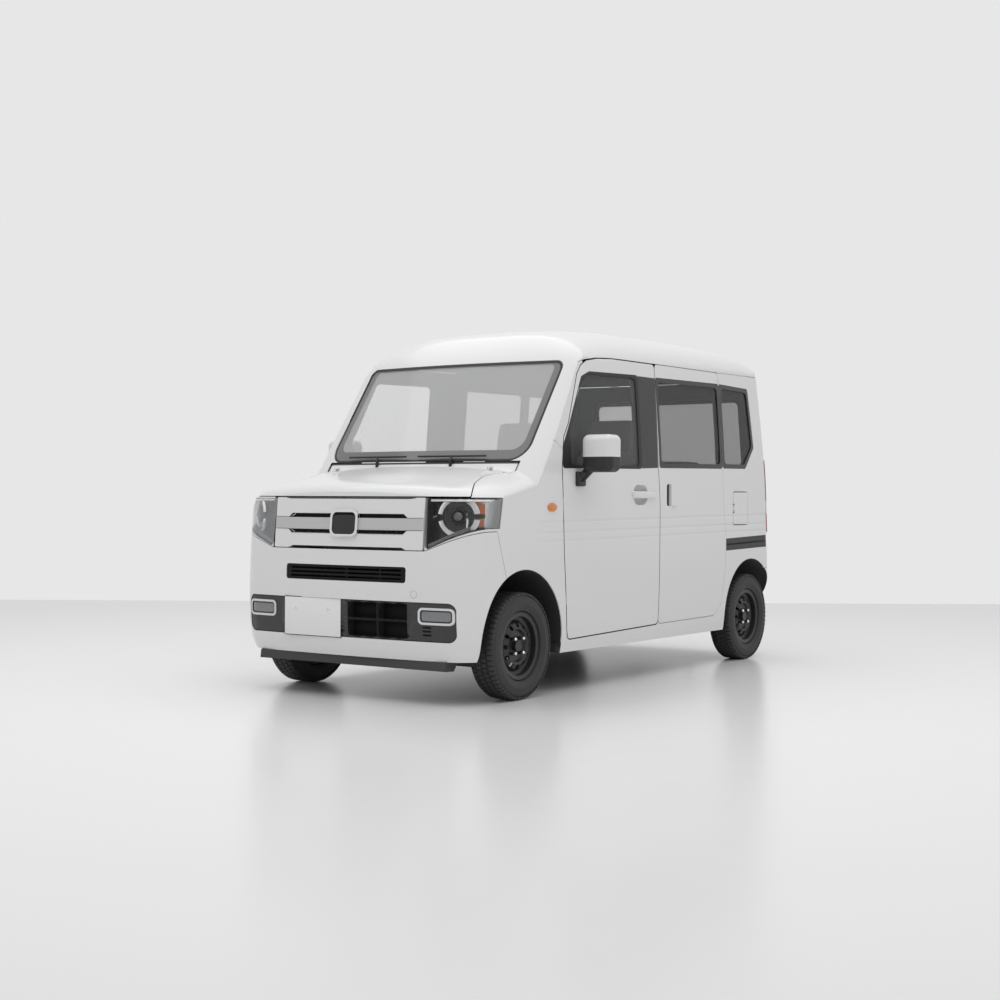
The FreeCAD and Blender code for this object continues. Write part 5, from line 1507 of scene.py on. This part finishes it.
class VAN_OT_side_details(bpy.types.Operator):
    """Marker lamps, slide rails, door grips and mirrors"""
    bl_idname = "van.side_details"
    bl_label = "Side details"

    def execute(self, context):
        for side, name in SIDES:
            bm = bmesh.new()
            rows = [[bm.verts.new((side * (side_x(MARKER[1]) + height), y, z))
                     for y, z in ellipse(MARKER, MARKER_HALF[0] * scale,
                                         MARKER_HALF[1] * scale, 40)]
                    for scale, height in MARKER_ROWS]
            stack_rows(bm, rows)
            finish(from_bmesh("marker_lamp_" + name, bm, 1.2), "marker_amber", "body_shell",
                   "lamp_red")

            bm = bmesh.new()
            near, far = sorted((side * 0.7265, side * 0.7525))
            box_mesh(bm, (near, -0.1470, 0.9925), (far, 0.1120, 1.0310), 0.008, 4)
            finish(from_bmesh("door_grip_" + name, bm, 1.0), "white_gloss",
                   "front_door_" + name, "paint")

            node = "mirror_" + name
            body = NODES[node]["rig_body"]
            shell = split_level(node, node + "_shell", MIRROR_SPLIT, "black_plastic",
                                "white_gloss", 0.9)
            finish(shell, None, body, "paint", node)
            near, far = sorted((side * 0.782, side * 0.928))
            pane = thick_sheet("mirror_glass_" + name,
                               rounded(rect(near, 1.145, far, 1.298), 0.022, 6),
                               rear_place(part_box(node)[1][1] + 0.0002), 0.0015)
            finish(pane, "mirror_glass", body, "lamp_silver")
        coated(NODES["slide_rails"], "black_plastic")
        return {"FINISHED"}


# Tyre as (along the axle, radius), rows of tread blocks as place along the axle and width,
# half length and heights of a block, and rows of a wheel nut as (along the axle, radius)
TYRE_PROFILE = [
    (-0.0455, 0.1535), (-0.0465, 0.1690), (-0.0640, 0.1735), (-0.0705, 0.1900),
    (-0.0722, 0.2080), (-0.0712, 0.2240), (-0.0675, 0.2400), (-0.0620, 0.2510),
    (-0.0520, 0.2570), (-0.0300, 0.2592), (0.0, 0.2598), (0.0300, 0.2592), (0.0520, 0.2570),
    (0.0620, 0.2510), (0.0675, 0.2400), (0.0688, 0.2360), (0.0702, 0.2355), (0.0712, 0.2240),
    (0.0722, 0.2080), (0.0724, 0.2060), (0.0712, 0.2045), (0.0705, 0.1900), (0.0690, 0.1880),
    (0.0640, 0.1735), (0.0465, 0.1690), (0.0455, 0.1535),
]
TREAD_ROWS = ((0.052, 0.030), (0.017, 0.028), (-0.017, 0.028), (-0.052, 0.030))
BLOCK_HALF, BLOCK_LOW, BLOCK_HIGH, TYRE_RADIUS = 0.0112, 0.2560, 0.2645, 0.265
NUT_ROWS = ((0.042, 0.0105), (0.052, 0.0105), (0.0555, 0.0085), (0.0585, 0.0050))
STUD_CIRCLE = 0.050


def tread_block(x, wide, shoulder, outward):
    """One block of the tyre's tread at the top of the tyre."""
    low, high = BLOCK_LOW, BLOCK_HIGH
    if shoulder:
        inner = x - outward * wide / 2
        outer = x + outward * wide / 2
        points = [(inner, low), (inner, high), (outer - outward * 0.008, high - 0.0012),
                  (outer - outward * 0.001, high - 0.0062), (outer + outward * 0.0005, 0.249),
                  (outer - outward * 0.005, 0.2485)]
    else:
        points = [(x - wide / 2, low), (x - wide / 2, high), (x + wide / 2, high),
                  (x + wide / 2, low)]
    bm = bmesh.new()
    angle = BLOCK_HALF / TYRE_RADIUS
    stack_rows(bm, [[bm.verts.new((u, r * math.sin(t * angle), r * math.cos(angle)))
                     for u, r in points] for t in (-1, 1)])
    return from_bmesh("tread_block", bm)


def wheel_nut(side):
    """Domed six-sided wheel nut, set at the stud circle above the axle."""
    bm = bmesh.new()
    corners = [math.pi / 3 * k for k in range(6)]
    stack_rows(bm, [[bm.verts.new((side * u, r * math.cos(a), STUD_CIRCLE + r * math.sin(a)))
                     for a in corners] for u, r in NUT_ROWS])
    return from_bmesh("wheel_nut", bm)


class VAN_OT_wheels(bpy.types.Operator):
    """Tyres with tread, black steel rims and bright nuts"""
    bl_idname = "van.wheels"
    bl_label = "Wheels"

    def execute(self, context):
        count = context.scene.van_sizes.tread_blocks
        for end in AXLES:
            for side, name in SIDES:
                wheel = "%s_%s" % (end, name)
                body = "wheel_" + wheel
                centre = (side * TRACKS[end], AXLES[end], AXLE_Z)
                tyre = lathe("tyre_body_" + wheel, TYRE_PROFILE, centre, 120, 0.7, side)
                finish(tyre, "tyre_rubber", body, "tyre", "tyre_" + wheel)
                for row, (x, wide) in enumerate(TREAD_ROWS):
                    block = tread_block(side * x, wide, abs(x) > 0.03,
                                        side * math.copysign(1, x))
                    blocks = repeated("tread_%s_%d" % (wheel, row), block, "tyre_rubber", count,
                                      centre, first=0.05 * (row % 2), turn=2 * math.pi / count)
                    finish(blocks, None, body, "tyre")
                coated(NODES["rim_" + wheel], "wheel_black")
                nuts = repeated("wheel_nuts_" + wheel, wheel_nut(side), "bright_trim", 4,
                                centre, first=math.pi / 4, turn=math.pi / 2)
                finish(nuts, None, body, "wheel_black")
        return {"FINISHED"}


# Tail: white band of the lamps and of their wraps, and points of the wiper's arm and blade
# as x, height at which the skin is taken, gap over it, and height
LAMP_BAND = (0.905, 0.985)
WRAP_BAND = (0.900, 0.980)
WIPER_ARM = ((0.02, 1.16, 0.022, 1.155), (-0.12, 1.2, 0.020, 1.20),
             (-0.30, 1.25, 0.014, 1.255))
WIPER_BLADE = ((-0.08, 1.21, 0.007, 1.205), (-0.46, 1.31, 0.007, 1.315))
WIPER_PIVOT = [(-0.012, 0.0), (-0.012, 0.018), (0.018, 0.016), (0.024, 0.010), (0.024, 0.0)]


def tail_reach(x, z):
    """Length round the tail at which the skin passes a half width."""
    return next(s for s in np.arange(0.55, 0.95, 0.002) if plan_point(s, z, -1)[0].x > x)


class VAN_OT_tail(bpy.types.Operator):
    """Tail lamps, rear wiper and handle strip"""
    bl_idname = "van.tail"
    bl_label = "Tail"

    def execute(self, context):
        mesh = merged("tail_lamps", "tail_lamp_covers")
        centres = shade_by_form(mesh)[0]
        z = centres[:, 2]
        dressed(mesh, ("lamp_red", "lamp_white"), (z > LAMP_BAND[0]) & (z < LAMP_BAND[1]))
        finish(new_object("tail_lamp_covers", mesh), None, "body_shell", "lamp_red",
               "tail_lamps")
        outline = rounded([(tail_reach(0.660, 0.780), 0.780),
                           (tail_reach(0.709, 0.780) + 0.038, 0.786),
                           (tail_reach(0.709, 1.236) + 0.038, 1.236),
                           (tail_reach(0.660, 1.242), 1.242)], 0.012)
        wrap = thick_sheet("lamp_wrap_left", outline, wrap_place(-0.0045, -1), 0.0042,
                           step=0.02)
        dressed(wrap.data, ("lamp_red", "lamp_white"),
                [WRAP_BAND[0] < face.center.z < WRAP_BAND[1] for face in wrap.data.polygons])
        for obj in (wrap, mirror_copy(wrap, "lamp_wrap_right")):
            finish(obj, None, "body_shell", "lamp_red")
        strip = thick_sheet("tailgate_strip", rounded(rect(-0.26, 0.905, 0.26, 0.945), 0.012),
                            nose_place(-0.012, -1), 0.012)
        finish(bevelled(strip, 0.003), "gloss_black", "tailgate", "black_plastic")
        bm = bmesh.new()
        for points, radius, sides in ((WIPER_ARM, 0.005, 10), (WIPER_BLADE, 0.0055, 8)):
            tube_mesh(bm, [(x, nose_y(x, skin_z, -1) + gap, z) for x, skin_z, gap, z in points],
                      radius, sides)
        finish(from_bmesh("rear_wiper", bm), "black_plastic", "tailgate", "black_plastic")
        pivot = turned("rear_wiper_pivot", WIPER_PIVOT, (0.02, nose_y(0.02, 1.155, -1), 1.155),
                       (0, 1, 0.12), 32)
        finish(pivot, "black_plastic", "tailgate", "black_plastic")
        return {"FINISHED"}


# Padded pieces: cells along each side, how far the corners are drawn in, and depth and half
# width of a seam
CELLS = (8, 8, 4)
CORNER_PULL = (0.045, 0.08)
SEAM = (0.012, 0.09)
# Front seats, from the seat's own centre, and rear seat: piece, low and high corner, crown,
# lean and places of the seams
FRONT_SEAT = (
    ("cushion", (-0.235, -0.338, 0.585), (0.235, 0.150, 0.690), 0.016, 0.04, (-0.55, 0.55)),
    ("back", (-0.225, -0.075, 0.880), (0.225, 0.595, 0.975), 0.022, 1.37, (-0.55, 0.55)),
    ("head", (-0.140, 0.245, 1.310), (0.140, 0.435, 1.385), 0.010, 1.37, ()),
)
REAR_SEAT = (
    ("cushion", (-0.42, 0.775, 0.700), (0.42, 1.200, 0.805), 0.014, 0.03, (-0.34, 0.0, 0.34)),
    ("back", (-0.42, 1.02, 0.945), (0.42, 1.50, 1.035), 0.018, 1.37, (-0.34, 0.0, 0.34)),
)
SEAT_X = 0.33


def cushion(name, low, high, crown, lean, seams):
    """Padded block between two corners, crowned on its faces and drawn in at its seams."""
    bm = bmesh.new()
    grid = {}
    for key in itertools.product(*(range(count + 1) for count in CELLS)):
        if any(k in (0, count) for k, count in zip(key, CELLS)):
            grid[key] = bm.verts.new([2 * k / count - 1 for k, count in zip(key, CELLS)])
    for axis in range(3):
        one, two = [a for a in range(3) if a != axis]
        for end in (0, CELLS[axis]):
            for i, j in itertools.product(range(CELLS[one]), range(CELLS[two])):
                corner = []
                for di, dj in ((0, 0), (1, 0), (1, 1), (0, 1)):
                    key = [end] * 3
                    key[one] = i + di
                    key[two] = j + dj
                    corner.append(grid[tuple(key)])
                bm.faces.new(corner)
    bmesh.ops.recalc_face_normals(bm, faces=bm.faces[:])
    bmesh.ops.subdivide_edges(bm, edges=bm.edges[:], cuts=1, use_grid_fill=True)
    middle = (Vector(low) + Vector(high)) / 2
    half = (Vector(high) - Vector(low)) / 2
    side_pull, top_pull = CORNER_PULL
    for v in bm.verts:
        u, t, w = v.co
        # Pull the corners in so that edges are round, and crown the faces
        edge = [abs(u) ** 6, abs(t) ** 6, abs(w) ** 6]
        x = u * (1 - side_pull * (edge[1] + edge[2])) * half.x
        y = t * (1 - side_pull * (edge[0] + edge[2])) * half.y
        z = w * (1 - top_pull * (edge[0] + edge[1])) * half.z
        swell = (1 - u * u) * (1 - t * t)
        z += (1 if w > 0.9 else -0.2 if w < -0.9 else 0) * crown * swell
        for at in seams:
            if w > 0.9:
                z -= SEAM[0] * max(0.0, 1 - abs(u - at) / SEAM[1]) * (1 - t ** 8)
        v.co = (x, y, z)
        v.co.rotate(Euler((lean, 0, 0)))
        v.co += middle
    obj = from_bmesh(name, bm, 2.0)
    modifier = obj.modifiers.new("smooth", "SUBSURF")
    modifier.levels = modifier.render_levels = 2
    return obj


class VAN_OT_cabin(bpy.types.Operator):
    """Seats, dashboard finish and steering wheel"""
    bl_idname = "van.cabin"
    bl_label = "Cabin"

    def execute(self, context):
        places = [("seat_%s_" + name, side * SEAT_X, FRONT_SEAT, "front_seats")
                  for side, name in SIDES]
        for label, x, pieces, node in places + [("rear_seat_%s", 0.0, REAR_SEAT, "rear_seat")]:
            for part, low, high, crown, lean, seams in pieces:
                obj = cushion(label % part, (low[0] + x, *low[1:]), (high[0] + x, *high[1:]),
                              crown, lean, seams)
                finish(obj, "seat_cloth", "body_shell", "seat_cloth", node)
            bm = bmesh.new()
            if node == "front_seats":
                box_mesh(bm, (x - 0.20, -0.290, 0.330), (x + 0.20, 0.100, 0.590), 0.02, 3)
                for dx in (-0.05, 0.05):
                    tube_mesh(bm, [(x + dx, 0.300, 1.20), (x + dx, 0.335, 1.36)], 0.006)
            else:
                box_mesh(bm, (-0.38, 0.8225, 0.481), (0.38, 1.1525, 0.715), 0.015, 3)
            finish(from_bmesh(label % "base", bm), "seat_side", "body_shell", "trim_black", node)
        coated(NODES["dashboard"], "dash_plastic")
        coated(NODES["steering_wheel"], "wheel_leather")
        return {"FINISHED"}


COWL_SPLIT = 1.163


class VAN_OT_plain_parts(bpy.types.Operator):
    """Finishes of the parts that keep their modelled shape, and the two-tone cowl"""
    bl_idname = "van.plain_parts"
    bl_label = "Plain parts"

    def execute(self, context):
        for finish_name, nodes in (
                ("lip_plastic", ("bumper_lip",)),
                ("black_plastic", ("wipers",)),
                ("underbody_coat", ("floor_pan", "fuel_tank")),
                ("cast_alloy", ("engine_block",)),
                ("exhaust_steel", ("exhaust",)),
                ("chassis_steel", ("front_suspension", "rear_axle", "knuckle_left",
                                   "knuckle_right"))):
            for node in nodes:
                coated(NODES[node], finish_name)
        panel = split_level("cowl", "cowl_panel", COWL_SPLIT, "white_gloss", "black_plastic",
                            0.5)
        finish(panel, None, "body_shell", "black_plastic", "cowl")
        return {"FINISHED"}


STEPS = [VAN_OT_stage, VAN_OT_paintwork, VAN_OT_glazing, VAN_OT_headlamps,
         VAN_OT_upper_grille, VAN_OT_lower_front, VAN_OT_side_details, VAN_OT_wheels,
         VAN_OT_tail, VAN_OT_cabin, VAN_OT_plain_parts]


class VAN_PT_panel(bpy.types.Panel):
    """Lists the van's sizes, colours and steps"""
    bl_idname = "VAN_PT_panel"
    bl_label = "Van"
    bl_space_type = "VIEW_3D"
    bl_region_type = "UI"
    bl_category = "Van"

    def draw(self, context):
        layout = self.layout
        for group, values in ((VanSizes, context.scene.van_sizes),
                              (VanColours, context.scene.van_colours)):
            for name in group.__annotations__:
                layout.prop(values, name)
        for step in STEPS:
            layout.operator(step.bl_idname)


CLASSES = [VanSizes, VanColours, *STEPS, VAN_PT_panel]


def register():
    for cls in CLASSES:
        bpy.utils.register_class(cls)
    bpy.types.Scene.van_sizes = bpy.props.PointerProperty(type=VanSizes)
    bpy.types.Scene.van_colours = bpy.props.PointerProperty(type=VanColours)


def unregister():
    del bpy.types.Scene.van_colours
    del bpy.types.Scene.van_sizes
    for cls in reversed(CLASSES):
        bpy.utils.unregister_class(cls)


def main():
    register()
    for step in STEPS:
        group, name = step.bl_idname.split(".")
        getattr(getattr(bpy.ops, group), name)()


if __name__ == "__main__":
    main()
